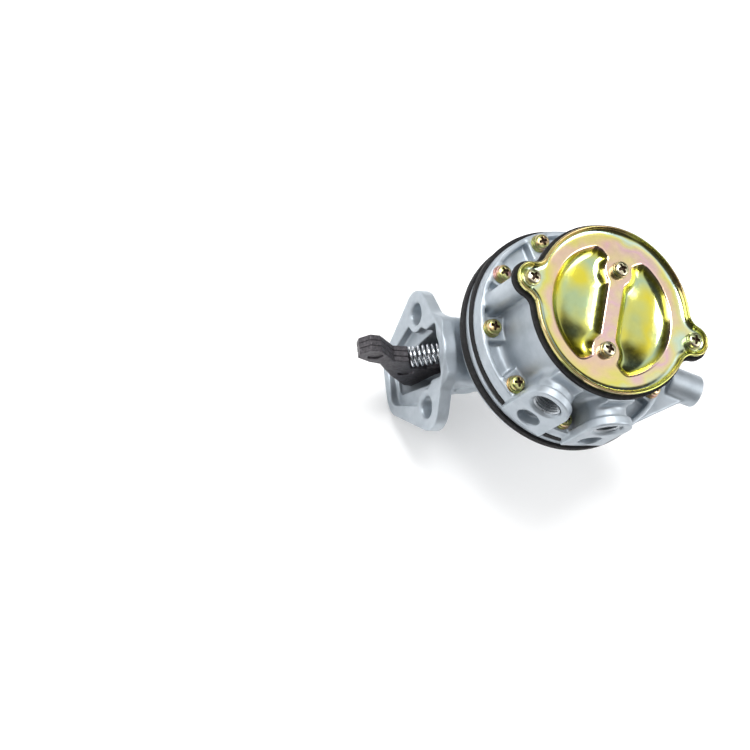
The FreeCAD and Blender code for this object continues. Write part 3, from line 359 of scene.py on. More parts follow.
class Space:
    """Grid of points in a box, with the distances that casting shapes are made of."""

    def __init__(self, low, high, step):
        self.low = [v - 3 * step for v in low]
        self.step = step
        counts = [int((b - a) / step) + 6 for a, b in zip(low, high)]
        axes = [np.float32(a) + np.arange(n, dtype=np.float32) * step for a, n in zip(self.low, counts)]
        self.x, self.y, self.z = np.meshgrid(*axes, indexing="ij", sparse=True)
        self.r = np.hypot(self.x - AXIS_X, self.y)

    def turned(self, angle):
        """Radial and sideways coordinates about the diaphragm axis."""
        c, s = math.cos(math.radians(angle)), math.sin(math.radians(angle))
        x = self.x - AXIS_X
        return x * c + self.y * s, self.y * c - x * s

    def mesh(self, name, distance, material, smooth=1, keep=1.0):
        """Piece from a distance field, smoothed and thinned."""
        reach = 3 * self.step
        values = np.empty(np.broadcast(self.x, self.y, self.z).shape, np.float32)
        values[:] = np.clip(distance, -reach, reach)
        grid = openvdb.FloatGrid(reach)
        grid.copyFromArray(values)
        points, quads = grid.convertToQuads(0.0)
        points = points * self.step + np.array(self.low)
        piece = mesh_object(name, points, quads[:, ::-1], material)
        if smooth:
            modifier(piece, "SMOOTH", factor=0.5, iterations=smooth)
        if keep < 1:
            modifier(piece, "DECIMATE", ratio=keep)
        apply_modifiers(piece)
        piece.data.polygons.foreach_set("use_smooth", [True] * len(piece.data.polygons))
        return piece


def blend(a, b, width):
    """Union of two distances with a fillet."""
    share = np.clip(0.5 + 0.5 * (b - a) / width, 0, 1)
    return b + (a - b) * share - width * share * (1 - share)


def carve(a, b, width=0.4):
    """The first distance less the second, with a softened edge."""
    return -blend(-a, b, width)


def box2(u, v, u0, u1, v0, v1, round_r=0.0):
    """Distance to a rounded rectangle."""
    du = np.maximum(u0 - u, u - u1) + round_r
    dv = np.maximum(v0 - v, v - v1) + round_r
    return np.minimum(np.maximum(du, dv), 0) + np.hypot(np.maximum(du, 0), np.maximum(dv, 0)) - round_r


def slab(flat, w, w0, w1, round_r=0.0):
    """Distance to a flat shape given a thickness."""
    dw = np.maximum(w0 - w, w - w1) + round_r
    df = flat + round_r
    return np.minimum(np.maximum(df, dw), 0) + np.hypot(np.maximum(df, 0), np.maximum(dw, 0)) - round_r


def tapered(u, v, a, b):
    """Distance to the flat hull of two circles (u, v, radius)."""
    du, dv = b[0] - a[0], b[1] - a[1]
    span = np.hypot(du, dv)
    along = ((u - a[0]) * du + (v - a[1]) * dv) / span
    side = np.abs((v - a[1]) * du - (u - a[0]) * dv) / span
    lean = (a[2] - b[2]) / span
    rise = np.sqrt(1 - lean * lean)
    place = along * rise - side * lean
    mid = side * rise + along * lean - a[2]
    near = np.hypot(along, side) - a[2]
    far = np.hypot(along - span, side) - b[2]
    return np.where(place < 0, near, np.where(place > rise * span, far, mid))


def hull(u, v, circles):
    """Distance to the flat hull of several circles in turning order."""
    pairs = list(zip(circles, circles[1:] + circles[:1]))
    inside = None
    outside = None
    for a, b in pairs:
        du, dv = b[0] - a[0], b[1] - a[1]
        edge = ((u - a[0]) * dv - (v - a[1]) * du) / np.hypot(du, dv)
        cone = tapered(u, v, a, b)
        inside = edge if inside is None else np.maximum(inside, edge)
        outside = cone if outside is None else np.minimum(outside, cone)
    return np.minimum(inside, outside)


def arch(v, z, half, level, base):
    """Distance to a flat shape with a round top and a square base."""
    top = np.hypot(v, np.maximum(z - level, 0)) - half
    return np.maximum(np.maximum(top, np.abs(v) - half), base - z)


# Finishes


# Film colours of the cover from the pockets' floor up to the lip, in warm patches and in cool ones; partly
# the film's tint, partly painted reflection, with the pale cyan-white stops standing for the bright bend
# inside the lip
WARM_FILM_AND_REFLECTION = (
    (0.05, "#BFD3A0"), (0.2, "#E6DE46"), (0.5, "#C4B444"), (0.6, "#F3C3CB"), (0.67, "#F5DDA6"),
    (0.73, "#EFE978"), (0.79, "#CBEAE6"), (0.86, "#D9D27E"), (0.96, "#C6AE82"),
)
COOL_FILM_AND_REFLECTION = (
    (0.05, "#E8DC50"), (0.25, "#B9CFA8"), (0.45, "#D2D048"), (0.6, "#F4EA9C"), (0.67, "#F3CBD0"),
    (0.73, "#F2E9A4"), (0.79, "#D9EFD8"), (0.88, "#CFCF72"), (0.96, "#B7BC66"),
)
SCREW_FILM = ((0.36, "#C9A49C"), (0.45, "#C8B27E"), (0.52, "#AEB474"), (0.6, "#C4B283"), (0.68, "#C99C9C"))
COVER_SCREW_FILM = ((0.38, "#BDBA9C"), (0.5, "#C3B49F"), (0.62, "#A9AF86"))


def cast_zinc(name, pale, dark, polish):
    """Pressure die-cast metal, shot-blasted: satin, finely pitted, a little darker in patches."""
    # The pits left by the shot are near 0.1 mm across, and are drawn at 0.55 mm so that they show
    patterns = {
        "colour": (9.0, 4.0, 0.6), "gloss": (4.0, 3.0, 0.5),
        "waves": (3.5, 2.0, 0.5), "grain": (0.55, 2.0, 0.6),
    }
    return substance(
        name, patterns, [(0.3, dark), (0.65, pale)], (polish - 0.06, polish + 0.08),
        [("waves", 0.12, 0.35), ("grain", 0.05, 0.6)], metallic=0.65,
    )[0]


def chromate(name, film):
    """Yellow chromate over zinc plate on steel screws: bright, each in its own part of the film's colours."""
    # The plate's crystals are too fine to see, and are drawn at 0.8 mm so that they show
    patterns = {"colour": (9.0, 2.0, 0.45), "gloss": (2.5, 4.0, 0.5), "grain": (0.8, 3.0, 0.55)}
    relief = [("grain", 0.01, 0.5)]
    return substance(name, patterns, linear_stops(film), (0.26, 0.36), relief, metallic=1.0, apart=True)[0]


def recess_painted_shade():
    """Painted shade for a cross recess: dark brown set on the recess faces where shade falls, with dull
    patches.
    """
    patterns = {"colour": (1.0, 3.0, 0.5), "gloss": (0.8, 3.0, 0.5)}
    brown = linear_stops([(0.3, "#2E2016"), (0.7, "#54402A")])
    return substance("recess_painted_shade_brown", patterns, brown, (0.5, 0.7), metallic=0.4)[0]


def cover_chromate():
    """Yellow chromate over zinc plate on pressed steel: the colour is set by height and by nearness to the
    lip, partly the film's tint and partly painted reflection, with a pale band painted at the bend inside the
    lip.
    """
    patterns = {
        "drift": (16.0, 2.0, 0.45), "patches": (22.0, 2.0, 0.4), "gloss": (2.5, 4.0, 0.5),
        "waves": (9.0, 2.0, 0.5), "grain": (0.8, 3.0, 0.55),
    }
    relief = [("waves", 0.15, 0.4), ("grain", 0.006, 0.5)]
    made, tree, shader, levels = substance(
        "yellow_chromate_cover_and_painted_reflection", patterns, gloss=(0.12, 0.2), relief=relief, metallic=1.0,
    )
    place = levels["place"]
    height = node(tree, "ShaderNodeSeparateXYZ", inputs={"Vector": place}).outputs["Z"]
    lowest, highest = (COVER_FACE - 5.0) * MM, (COVER_FACE + 2.6) * MM
    inputs = {"Value": height, "From Min": lowest, "From Max": highest}
    level = node(tree, "ShaderNodeMapRange", inputs=inputs).outputs["Result"]
    radius = place
    for operation, other, result in (
        ("SUBTRACT", (AXIS_X * MM, 0, 0), "Vector"),
        ("MULTIPLY", (1, 1, 0), "Vector"),
        ("LENGTH", (0, 0, 0), "Value"),
    ):
        inputs = {0: radius, 1: other}
        radius = node(tree, "ShaderNodeVectorMath", {"operation": operation}, inputs).outputs[result]
    # Painted reflection: towards the lip the colour is pushed to the pale stops that stand for the bright
    # bend inside the lip.
    inputs = {"Value": radius, "From Min": 32.5 * MM, "From Max": 38.5 * MM, "To Max": 0.1}
    edge = node(tree, "ShaderNodeMapRange", inputs=inputs).outputs["Result"]
    inputs = {0: levels["drift"], 1: 0.36, 2: -0.18}
    moved = node(tree, "ShaderNodeMath", {"operation": "MULTIPLY_ADD"}, inputs).outputs["Value"]
    total = node(tree, "ShaderNodeMath", {"operation": "ADD"}, {0: level, 1: moved}).outputs["Value"]
    total = node(tree, "ShaderNodeMath", {"operation": "ADD"}, {0: total, 1: edge}).outputs["Value"]
    inputs = {"Value": levels["patches"], "From Min": 0.4, "From Max": 0.6}
    share = node(tree, "ShaderNodeMapRange", inputs=inputs).outputs["Result"]
    film = node(tree, "ShaderNodeMix", {"data_type": "RGBA"}, {"Factor": share})
    for socket, stops in ((6, WARM_FILM_AND_REFLECTION), (7, COOL_FILM_AND_REFLECTION)):
        band = node(tree, "ShaderNodeValToRGB", inputs={"Fac": total}, stops=linear_stops(stops))
        tree.links.new(band.outputs["Color"], film.inputs[socket])
    tree.links.new(film.outputs[2], shader.inputs["Base Color"])
    return made


def dark_phosphate(pale, dark):
    """Manganese phosphate on stamped steel: near black, oily, finely speckled."""
    patterns = {"colour": (1.2, 4.0, 0.7), "gloss": (3.0, 3.0, 0.5), "grain": (0.5, 3.0, 0.5)}
    stops = [(0.3, dark), (0.7, pale)]
    relief = [("grain", 0.03, 0.6)]
    return substance("phosphated_steel", patterns, stops, (0.42, 0.6), relief, metallic=0.65)[0]


def bright_metal(name, pale, dark, colour_mm, grain_mm, roughness):
    """Drawn or turned metal: clean and glossy, with fine lines from the die or the tool."""
    # The lines are finer than 0.1 mm, and are drawn a few times coarser so that they show
    patterns = {"colour": (colour_mm, 3.0, 0.5), "grain": (grain_mm, 3.0, 0.5)}
    stops = [(0.3, dark), (0.7, pale)]
    return substance(name, patterns, stops, roughness, [("grain", 0.01, 0.5)], metallic=1.0)[0]


def fabric_rubber(pale, dark):
    """Nitrile rubber over cotton, cut to shape: matt black with a faint weave at the edge."""
    patterns = {"colour": (2.0, 4.0, 0.5), "gloss": (1.5, 3.0, 0.5), "weave": (0.6, 3.0, 0.5)}
    stops = [(0.3, dark), (0.7, pale)]
    relief = [("weave", 0.06, 0.8)]
    made, tree, shader, levels = substance("nitrile_on_fabric", patterns, stops, (0.65, 0.85), relief)
    shader.inputs["Specular IOR Level"].default_value = 0.35
    return made


MATERIALS = {}


def finish(name):
    """A finish by name, made on first use."""
    colours = bpy.context.scene.finish_colours
    makers = {
        "cast": lambda: cast_zinc("die_cast_zinc", colours.cast_pale, colours.cast_dark, 0.46),
        "machined": lambda: cast_zinc("milled_zinc", linear("#B9BEC3"), linear("#A2A9AF"), 0.3),
        "cover": cover_chromate,
        "screws": lambda: chromate("yellow_chromate_screw", SCREW_FILM),
        "cover_screws": lambda: chromate("pale_chromate_screw", COVER_SCREW_FILM),
        # The recess finish is a dark brown painted shade for the cross recesses.
        "recess": recess_painted_shade,
        "phosphate": lambda: dark_phosphate(colours.arm_pale, colours.arm_dark),
        "wire": lambda: bright_metal("zinc_spring_wire", colours.wire_pale, colours.wire_dark, 2, 0.4, 0.24),
        "steel": lambda: bright_metal("turned_steel", linear("#B4B7BB"), linear("#8E9297"), 3.0, 0.5, 0.32),
        "rubber": lambda: fabric_rubber(colours.rubber_pale, colours.rubber_dark),
        "brass": lambda: bright_metal("turned_brass", linear("#CDAA62"), linear("#B08D4A"), 3.0, 0.5, 0.35),
    }
    if name not in MATERIALS:
        MATERIALS[name] = makers[name]()
    return MATERIALS[name]


# Sizes and colours that a user would change


def colour_setting(name, description, hex_colour):
    """Colour property whose default is an sRGB hex colour."""
    return FloatVectorProperty(
        name=name, description=description, subtype="COLOR", size=4, min=0, max=1, default=linear(hex_colour),
    )


def length_setting(name, description, default):
    """Length property with its default in metres."""
    return FloatProperty(name=name, description=description, default=default, unit="LENGTH")


class StageSettings(bpy.types.PropertyGroup):
    floor_gap: length_setting("Floor gap", "Space under the part", 0.0004)
    lens: FloatProperty(
        name="Lens", description="Focal length for a 36 mm sensor", default=123.24, unit="CAMERA",
    )


class CastingSettings(bpy.types.PropertyGroup):
    step: length_setting("Step", "Mesh step of the castings", 0.0005)
    fillet: length_setting("Fillet", "Width of the cast fillets", 0.004)


class CoverSettings(bpy.types.PropertyGroup):
    lip: length_setting("Lip height", "Height of the lip over the base", 0.0036)
    bend: length_setting("Lip bend", "Radius inside the lip", 0.0035)
    depth: length_setting("Pocket depth", "Depth of the pockets", 0.005)


class ScrewSettings(bpy.types.PropertyGroup):
    head: length_setting("Head diameter", "Width of a screw head", 0.0074)
    height: length_setting("Head height", "Height of a screw head", 0.0029)


class FinishColours(bpy.types.PropertyGroup):
    cast_pale: colour_setting("Casting, pale", "Paler patches of the die castings", "#B4BCC3")
    cast_dark: colour_setting("Casting, dark", "Darker patches of the die castings", "#A2ABB3")
    arm_pale: colour_setting("Rocker arm, pale", "Paler specks of the phosphated steel", "#636064")
    arm_dark: colour_setting("Rocker arm, dark", "Darker specks of the phosphated steel", "#3B393C")
    wire_pale: colour_setting("Spring, pale", "Paler stretches of the spring wire", "#E4E7EA")
    wire_dark: colour_setting("Spring, dark", "Darker stretches of the spring wire", "#B9BEC4")
    rubber_pale: colour_setting("Rubber, pale", "Paler patches of the rubber", "#1B1A1D")
    rubber_dark: colour_setting("Rubber, dark", "Darker patches of the rubber", "#0E0D0E")


def neck_circles(x, inset):
    """Corner circles of the neck at a place along X, as (y, z, radius)."""
    top_y, top_z, low_y, low_z, low_r = [np.interp(x, NECK_PLACES, row) for row in NECK_CORNERS]
    top_r = NECK_TOP_R - inset
    low_r = low_r - inset
    return [(top_y, top_z, top_r), (-top_y, top_z, top_r), (-low_y, low_z, low_r), (low_y, low_z, low_r)]


def bowl(space, inner):
    """Distance to the spring bowl's outside or inside."""
    r, z = space.r, space.z
    foot, floor, run, rise = BOWL_INSIDE if inner else BOWL_OUTSIDE
    slope = (rise * (r - foot) - run * (z - floor)) / math.hypot(rise, run)
    limit = r - CHAMBER_R if inner else z - HOUSING_TOP + 1
    return np.maximum(np.maximum(floor - z, slope), limit)


def housing_piece():
    """Die-cast rocker housing: mounting flange, neck, bowl and round flange."""
    settings = bpy.context.scene.castings
    space = Space((0, -51, -38), (107.5, 51, HOUSING_TOP), settings.step / MM)
    x, y, z, r = space.x, space.y, space.z, space.r
    fillet = settings.fillet / MM
    plate = slab(hull(y, z, MOUNT_CORNERS), x, 0, MOUNT_T, 0.7)
    neck = np.maximum(hull(y, z, neck_circles(x, 0)), np.maximum(2 - x, x - NECK_END))
    flange = box2(r, z, 0, HOUSING_R, HOUSING_FLANGE_BOTTOM, HOUSING_TOP, 0.5)
    shape = blend(blend(bowl(space, False), flange, fillet), neck, fillet)
    shape = blend(shape, plate, fillet)
    inner = np.maximum(-3 - x, x - NECK_END + NECK_WALL)
    inner = np.maximum(hull(y, z, neck_circles(x, NECK_WALL)), inner)
    inner = np.maximum(inner, 0.6 - bowl(space, False))
    pocket = slab(hull(y, z, POCKET_CORNERS), x, -3, MOUNT_POCKET, 0.8)
    for side in BOLT_SIDES:
        pocket = carve(pocket, np.hypot(y - side, z) - BOLT_BOSS_R, 1.6)
    shape = carve(shape, pocket, 0.7)
    shape = carve(shape, inner, 0.8)
    shape = carve(shape, np.maximum(bowl(space, True), z - 40), 0.5)
    pivot = np.hypot(x - PIVOT_X, z - PIVOT_Z)
    boss = np.maximum(pivot - PIVOT_BOSS_R, np.maximum(5.0 - np.abs(y), np.abs(y) - 16.6))
    shape = blend(shape, boss, 1.2)
    from_x, from_z = x - SPRING_END[0], z - SPRING_END[1]
    u = from_x * SPRING_DIR[0] + from_z * SPRING_DIR[1]
    v = -from_x * SPRING_DIR[1] + from_z * SPRING_DIR[0]
    wedge = np.maximum(np.maximum(-u, v - 6.5), np.maximum(-5.6 - v, np.abs(y) - 5.6))
    wedge = np.maximum(wedge, np.maximum(x - 13, z - 20))
    shape = blend(shape, wedge, 1.0)
    nub = np.maximum(np.hypot(v, y) - 2.9, np.maximum(-2.6 - u, u - 1))
    shape = np.minimum(shape, nub)
    shape = carve(shape, np.maximum(pivot - PIVOT_BORE_R, -12.0 - y), 0.2)
    for side in BOLT_SIDES:
        hole = np.hypot(y - side, z) - BOLT_HOLE_R - np.maximum(1.0 - x, 0)
        shape = carve(shape, np.maximum(hole, x - 9), 0.3)
    shape = carve(shape, np.maximum(r - 4.3, -z), 0.3)
    piece = space.mesh("rocker_housing_casting", shape, finish("cast"), 2, 0.5)
    return seat(piece, ROOT, "housing_casting", "rocker_housing")


def valve_body_piece():
    """Die-cast valve body: rimmed flange, drum, ear columns and port blocks."""
    settings = bpy.context.scene.castings
    space = Space((0, -53.5, 40.4), (107.5, 51, BODY_TOP), settings.step / MM)
    z, r = space.z, space.r
    fillet = settings.fillet / MM
    drum = box2(r, z, 0, DRUM_R, BODY_BOTTOM, BODY_TOP, 0.4)
    flange = box2(r, z, 0, BODY_FLANGE_R, BODY_BOTTOM, 45.0, 0.3)
    rim = box2(r, z, BODY_FLANGE_R - 2.7, BODY_FLANGE_R, BODY_BOTTOM, SCREW_SEAT, 0.5)
    turn = np.arctan2(space.y, space.x - AXIS_X)
    pitch = math.radians(360 / SCREW_COUNT)
    turn = (turn + pitch / 2) % pitch - pitch / 2
    pad = box2(r * np.cos(turn), r * np.sin(turn), 36.0, 49.0, -5.8, 5.8, 1.0)
    pad = slab(pad, z, BODY_BOTTOM, SCREW_SEAT, 0.3)
    shape = blend(drum, flange, fillet)
    shape = blend(shape, rim, 0.8)
    shape = blend(shape, pad, 1.2)
    for angle in EAR_DIRS:
        u, v = space.turned(angle)
        column = slab(np.hypot(u - EAR_CIRCLE_R, v) - EAR_COLUMN_R, z, BODY_BOTTOM, BODY_TOP, 0.4)
        web = slab(box2(u, v, 36.0, EAR_CIRCLE_R, -4.0, 4.0), z, BODY_BOTTOM, BODY_TOP, 0.4)
        shape = blend(shape, np.minimum(column, web), 2.0)
    skirt = np.maximum(r - SKIRT_R, z - BODY_BOTTOM)
    for angle in PORT_DIRS:
        u, v = space.turned(angle)
        stem = slab(arch(v, z, 9.3, PORT_LEVEL, BODY_BOTTOM), u, 34.0, 51.0)
        rib = slab(box2(v, z, -7.3, 7.3, PORT_LEVEL, BODY_TOP, 0.4), u, 34.0, 42.5, 0.8)
        face = slab(arch(v, z, 11.3, PORT_LEVEL, 40.6), u, PORT_FACE - 4.6, PORT_FACE, 0.6)
        shape = blend(shape, blend(stem, rib, 2.0), 2.5)
        shape = blend(shape, face, 1.0)
    shape = np.maximum(shape, BODY_BOTTOM - z - np.where(r > SKIRT_R, 3.0, 0.0))
    for angle in PORT_DIRS:
        u, v = space.turned(angle)
        across = np.hypot(v, z - PORT_LEVEL)
        mouth = np.maximum(u - PORT_FACE + 1.5, 0)
        hole = np.maximum(across - PORT_HOLE_R - mouth, PORT_FACE - PORT_HOLE_DEPTH - u)
        passage = np.maximum(across - PASSAGE_R, 32.0 - u)
        blank = np.maximum(np.hypot(v, z - BLANK_LEVEL) - BLANK_R, PORT_FACE - BLANK_DEPTH - u)
        shape = carve(shape, np.minimum(hole, passage), 0.3)
        shape = carve(shape, blank, 0.4)
    pump_side = np.maximum(r - CHAMBER_R, z - 43.9)
    pump_side = np.minimum(pump_side, np.maximum(r - VALVE_CHAMBER_R, z - 51.0))
    u, v = space.turned(COVER_DIR)
    upper = np.maximum(np.maximum(r - VALVE_CHAMBER_R, 55.0 - z), 2.5 - np.abs(v))
    upper = np.maximum(upper, 5.2 - np.hypot(np.abs(u) - BAR_SCREW_R, v))
    shape = carve(shape, np.minimum(pump_side, upper), 0.4)
    shape = np.maximum(shape, -skirt)
    piece = space.mesh("valve_body_casting", shape, finish("cast"), 2, 0.5)
    return seat(piece, ROOT, "body_casting", "valve_body")


def spacer_piece():
    """Spacer ring with its vent boss."""
    space = Space((4, -52, 29), (128.5, 52, 46.5), RING_STEP)
    z, r = space.z, space.r
    ring = box2(r, z, CHAMBER_R, SPACER_R, SPACER_BOTTOM, SPACER_TOP, 0.5)
    u, v = space.turned(VENT_DIR)
    lug = polygon(u, v, VENT_LUG)
    lug = slab(np.maximum(lug, 41.5 - r), z, SPACER_BOTTOM, SPACER_TOP, 0.3)
    level = (SPACER_BOTTOM + SPACER_TOP) / 2
    across = np.hypot(v, z - level)
    boss = slab(across - VENT_BOSS_R, u, 56.5, VENT_FACE, 0.8)
    shape = blend(np.minimum(ring, lug), boss, 1.5)
    shape = carve(shape, np.maximum(across - VENT_HOLE_R, 65.0 - u), 0.5)
    shape = carve(shape, np.maximum(across - VENT_PASSAGE_R, 39.0 - u), 0.2)
    piece = space.mesh("spacer_ring_casting", shape, finish("cast"), 2, 0.5)
    return seat(piece, ROOT, "spacer_casting", "spacer_ring")


def lathe(name, profile, material, body, slot, nodes, proud=0.0, steps=256):
    """Ring turned from a closed profile of (radius, level) points, its rim proud on one side."""
    count = len(profile)
    points = []
    for i in range(steps):
        turn = 2 * math.pi * i / steps
        swell = proud * max(math.cos(turn - math.radians(PROUD_DIR)), 0) ** 2
        for radius, level in profile:
            radius += swell if radius > SPACER_R - 1 else 0
            points.append((AXIS_X + radius * math.cos(turn), radius * math.sin(turn), level))
    faces = []
    for i in range(steps):
        a, b = i * count, ((i + 1) % steps) * count
        faces += [(a + k, b + k, b + (k + 1) % count, a + (k + 1) % count) for k in range(count)]
    piece = mesh_object(name, points, faces, material)
    modifier(piece, "BEVEL", width=0.25 * MM, segments=2, limit_method="ANGLE", angle_limit=math.radians(35))
    apply_modifiers(piece)
    return seat(piece, body, slot, *nodes)


def diaphragm_profile(bottom, rim_t, web, outer):
    """Closed profile of a diaphragm's convolution and clamped rim."""
    width = CHAMBER_R - 0.5 - WEB_EDGE_R
    steps = 12
    wave = []
    for i in range(steps + 1):
        wave.append((WEB_EDGE_R + width * i / steps, web - 1.6 * math.sin(math.pi * i / steps)))
    low = wave + [(CHAMBER_R, bottom), (outer - 0.3, bottom), (outer, bottom + 0.3)]
    high = [(outer, bottom + rim_t), (outer - 0.3, bottom + rim_t + 0.3), (CHAMBER_R, bottom + rim_t)]
    return low + high + [(r, z + RUBBER_T) for r, z in reversed(wave)]


def outline(grow, count=26):
    """Points of the cover's outline, grown by a distance, in millimetres about the axis."""
    big, ear, bend, span = COVER_R + grow, COVER_EAR_R + grow, COVER_EAR_BEND - grow, EAR_CIRCLE_R
    reach_a, reach_b = big + bend, ear + bend
    along = (reach_a ** 2 - reach_b ** 2 + span ** 2) / (2 * span)
    off = math.sqrt(reach_a ** 2 - along ** 2)
    start = math.atan2(off, along)
    meet = math.atan2(off, along - span)
    half = []
    for i in range(5 * count):
        turn = math.pi / 2 + (start - math.pi / 2) * i / (5 * count)
        half.append((big * math.cos(turn), big * math.sin(turn)))
    for i in range(count):
        turn = start + math.pi + (meet - start) * i / count
        half.append((along + bend * math.cos(turn), off + bend * math.sin(turn)))
    for i in range(2 * count + 1):
        turn = meet * (1 - i / (2 * count))
        half.append((span + ear * math.cos(turn), ear * math.sin(turn)))
    quarter = half + [(x, -y) for x, y in reversed(half[:-1])]
    whole = quarter + [(-x, -y) for x, y in quarter[1:-1]]
    turn = math.radians(EAR_DIRS[0])
    c, s = math.cos(turn), math.sin(turn)
    points = [(x * c - y * s, x * s + y * c) for x, y in reversed(whole)]
    return np.array(points)


def pocket_depth(x, y, depth):
    """Depth of the cover's pockets at points about the axis."""
    turn = math.radians(COVER_DIR)
    u = np.abs(x * math.cos(turn) + y * math.sin(turn))
    v = np.abs(y * math.cos(turn) - x * math.sin(turn))
    r = np.hypot(x, y)
    strip = v - BAR_HALF_W
    pad = np.hypot(u - BAR_SCREW_R, v) - BAR_PAD_R
    end = (v - BAR_FLARE_HALF_W - BAR_FLARE * (u - BAR_FLARE_START)) / math.hypot(1, BAR_FLARE)
    island = blend(blend(strip, pad, 2.0), end, 2.0)
    inward = blend(POCKET_R - r, island, 3.0)
    wide = blend(POCKET_R - r, island, 14.0) / DISH_REACH
    crest = np.clip((inward + POCKET_EDGE) / (2 * POCKET_EDGE), 0, 1)
    steep = math.tan(math.radians(POCKET_SLOPE))
    wall_depth = depth - POCKET_DISH
    reach = 2 * wall_depth / steep
    share = np.clip(1 - inward / reach, 0, 1)
    wall = wall_depth * (1 - share * share)
    start = steep * POCKET_EDGE * crest ** 2
    wall = np.where(inward < POCKET_EDGE, start * (1 - 0.5 * POCKET_EDGE * crest / reach), wall)
    wide = np.clip(wide, 0, 1)
    return wall + POCKET_DISH * wide * wide * (3 - 2 * wide)


def cover_piece():
    """Pressed cover: ears, rolled lip and two pockets either side of a bar."""
    settings = bpy.context.scene.cover_sizes
    lip = settings.lip / MM
    bend = settings.bend / MM
    quarter = [math.radians(15 * i) for i in range(7)]
    edge = [(-4.0, 0.0)] + [(math.sin(t) - 1, 1 - math.cos(t)) for t in quarter]
    edge += [(0.0, lip * 0.6)] + [(0.5 * math.cos(t) - 0.5, lip - 0.5 + 0.5 * math.sin(t)) for t in quarter]
    first = math.acos(max(1 - (lip - 1.5) / bend, 0))
    reach = -1.05 - bend * math.sin(first)
    edge += [(-0.55 - 0.5 * math.sin(t), lip - 0.5 + 0.5 * math.cos(t)) for t in quarter[1:]]
    arc = [first * (1 - i / 10) for i in range(1, 11)]
    edge += [(reach + bend * math.sin(t), 1 + bend * (1 - math.cos(t))) for t in arc]
    rings = []
    for grow, level in edge:
        flat = outline(grow)
        rings.append(np.column_stack([flat, np.full(len(flat), COVER_BOTTOM + level)]))
    last = outline(edge[-1][0])
    radii = np.linspace(1, 0, 130)[1:-1]
    for share in radii:
        flat = last * share
        level = COVER_FACE - pocket_depth(flat[:, 0], flat[:, 1], settings.depth / MM)
        rings.append(np.column_stack([flat, level]))
    width = len(last)
    points = np.concatenate(rings)
    centre_level = COVER_FACE - pocket_depth(np.zeros(1), np.zeros(1), settings.depth / MM)[0]
    points = np.concatenate([points, [[0, 0, centre_level]]])
    points[:, 0] += AXIS_X
    faces = []
    for i in range(len(rings) - 1):
        a, b = i * width, (i + 1) * width
        faces += [(a + k, a + (k + 1) % width, b + (k + 1) % width, b + k) for k in range(width)]
    last_ring = (len(rings) - 1) * width
    faces += [(last_ring + k, last_ring + (k + 1) % width, len(points) - 1) for k in range(width)]
    piece = mesh_object("pressed_cover", points, faces, finish("cover"))
    return seat(piece, ROOT, "cover_zinc", "cover")


def screw_mesh(material, length):
    """Pan-head screw with a cross recess, its seat at the origin."""
    settings = bpy.context.scene.screws
    radius = settings.head / MM / 2
    height = settings.height / MM
    space = Space((-radius, -radius, -length), (radius, radius, height), SCREW_STEP)
    x, y, z = space.x, space.y, space.z
    r = np.hypot(x, y)
    dome = np.sqrt(r * r + (z - height + PAN_CROWN_R) ** 2) - PAN_CROWN_R
    head = box2(r, z, 0, radius, 0, height + 1, 0.35)
    head = -blend(-head, -dome, 0.9)
    shank = np.maximum(r - SHANK_R, np.maximum(-length - z, z - 0.5))
    depth = height - z
    narrow = np.clip(depth, 0, 2) * 0.22
    arms = []
    for across, along in ((np.abs(x), np.abs(y)), (np.abs(y), np.abs(x))):
        arms.append(np.maximum(across - RECESS_HALF_W + narrow * 0.5, along - RECESS_REACH + narrow * 1.6))
    recess = np.maximum(np.minimum(*arms), depth - RECESS_DEPTH)
    recess = np.minimum(recess, np.maximum(r - 1.25 + narrow * 1.4, depth - RECESS_DEPTH))
    shape = carve(np.minimum(head, shank), recess, 0.15)
    piece = space.mesh("pan_screw_" + material, shape, finish(material), 1, 0.35)
    # The faces inside the cross recess take the dark brown painted shade.
    piece.data.materials.append(finish("recess"))
    for face in piece.data.polygons:
        place = face.center / MM
        low = place.z < height - 0.22 - (place.x ** 2 + place.y ** 2) / (2 * PAN_CROWN_R)
        if low and place.z > height - 2.2 and math.hypot(place.x, place.y) < RECESS_REACH:
            face.material_index = 1
    return piece


def ring_mesh(name, sizes, material):
    """Washer with a slit, its underside at the origin."""
    inner, outer, thick, slit = sizes
    steps = 48
    span = 2 * math.pi - slit / outer
    bevel = 0.15
    profile = [(inner, 0), (outer - bevel, 0), (outer, bevel)]
    profile += [(outer, thick - bevel), (outer - bevel, thick), (inner, thick)]
    points = []
    for i in range(steps + 1):
        turn = span * i / steps
        points += [(radius * math.cos(turn), radius * math.sin(turn), level) for radius, level in profile]
    count = len(profile)
    faces = []
    for i in range(steps):
        a, b = i * count, (i + 1) * count
        faces += [(a + k, b + k, b + (k + 1) % count, a + (k + 1) % count) for k in range(count)]
    faces += [tuple(range(count)), tuple(reversed(range(steps * count, (steps + 1) * count)))]
    return mesh_object(name, points, faces, finish(material), smooth=False)


def placed(source, name, place, turn, body, slot, *nodes):
    """Copy of a piece that shares its mesh, put at a place in millimetres."""
    copy = bpy.data.objects.new(name, source.data)
    bpy.context.scene.collection.objects.link(copy)
    copy.matrix_world = Matrix.Translation(Vector(place) * MM) @ Matrix.Rotation(turn, 4, "Z")
    return seat(copy, body, slot, *nodes)


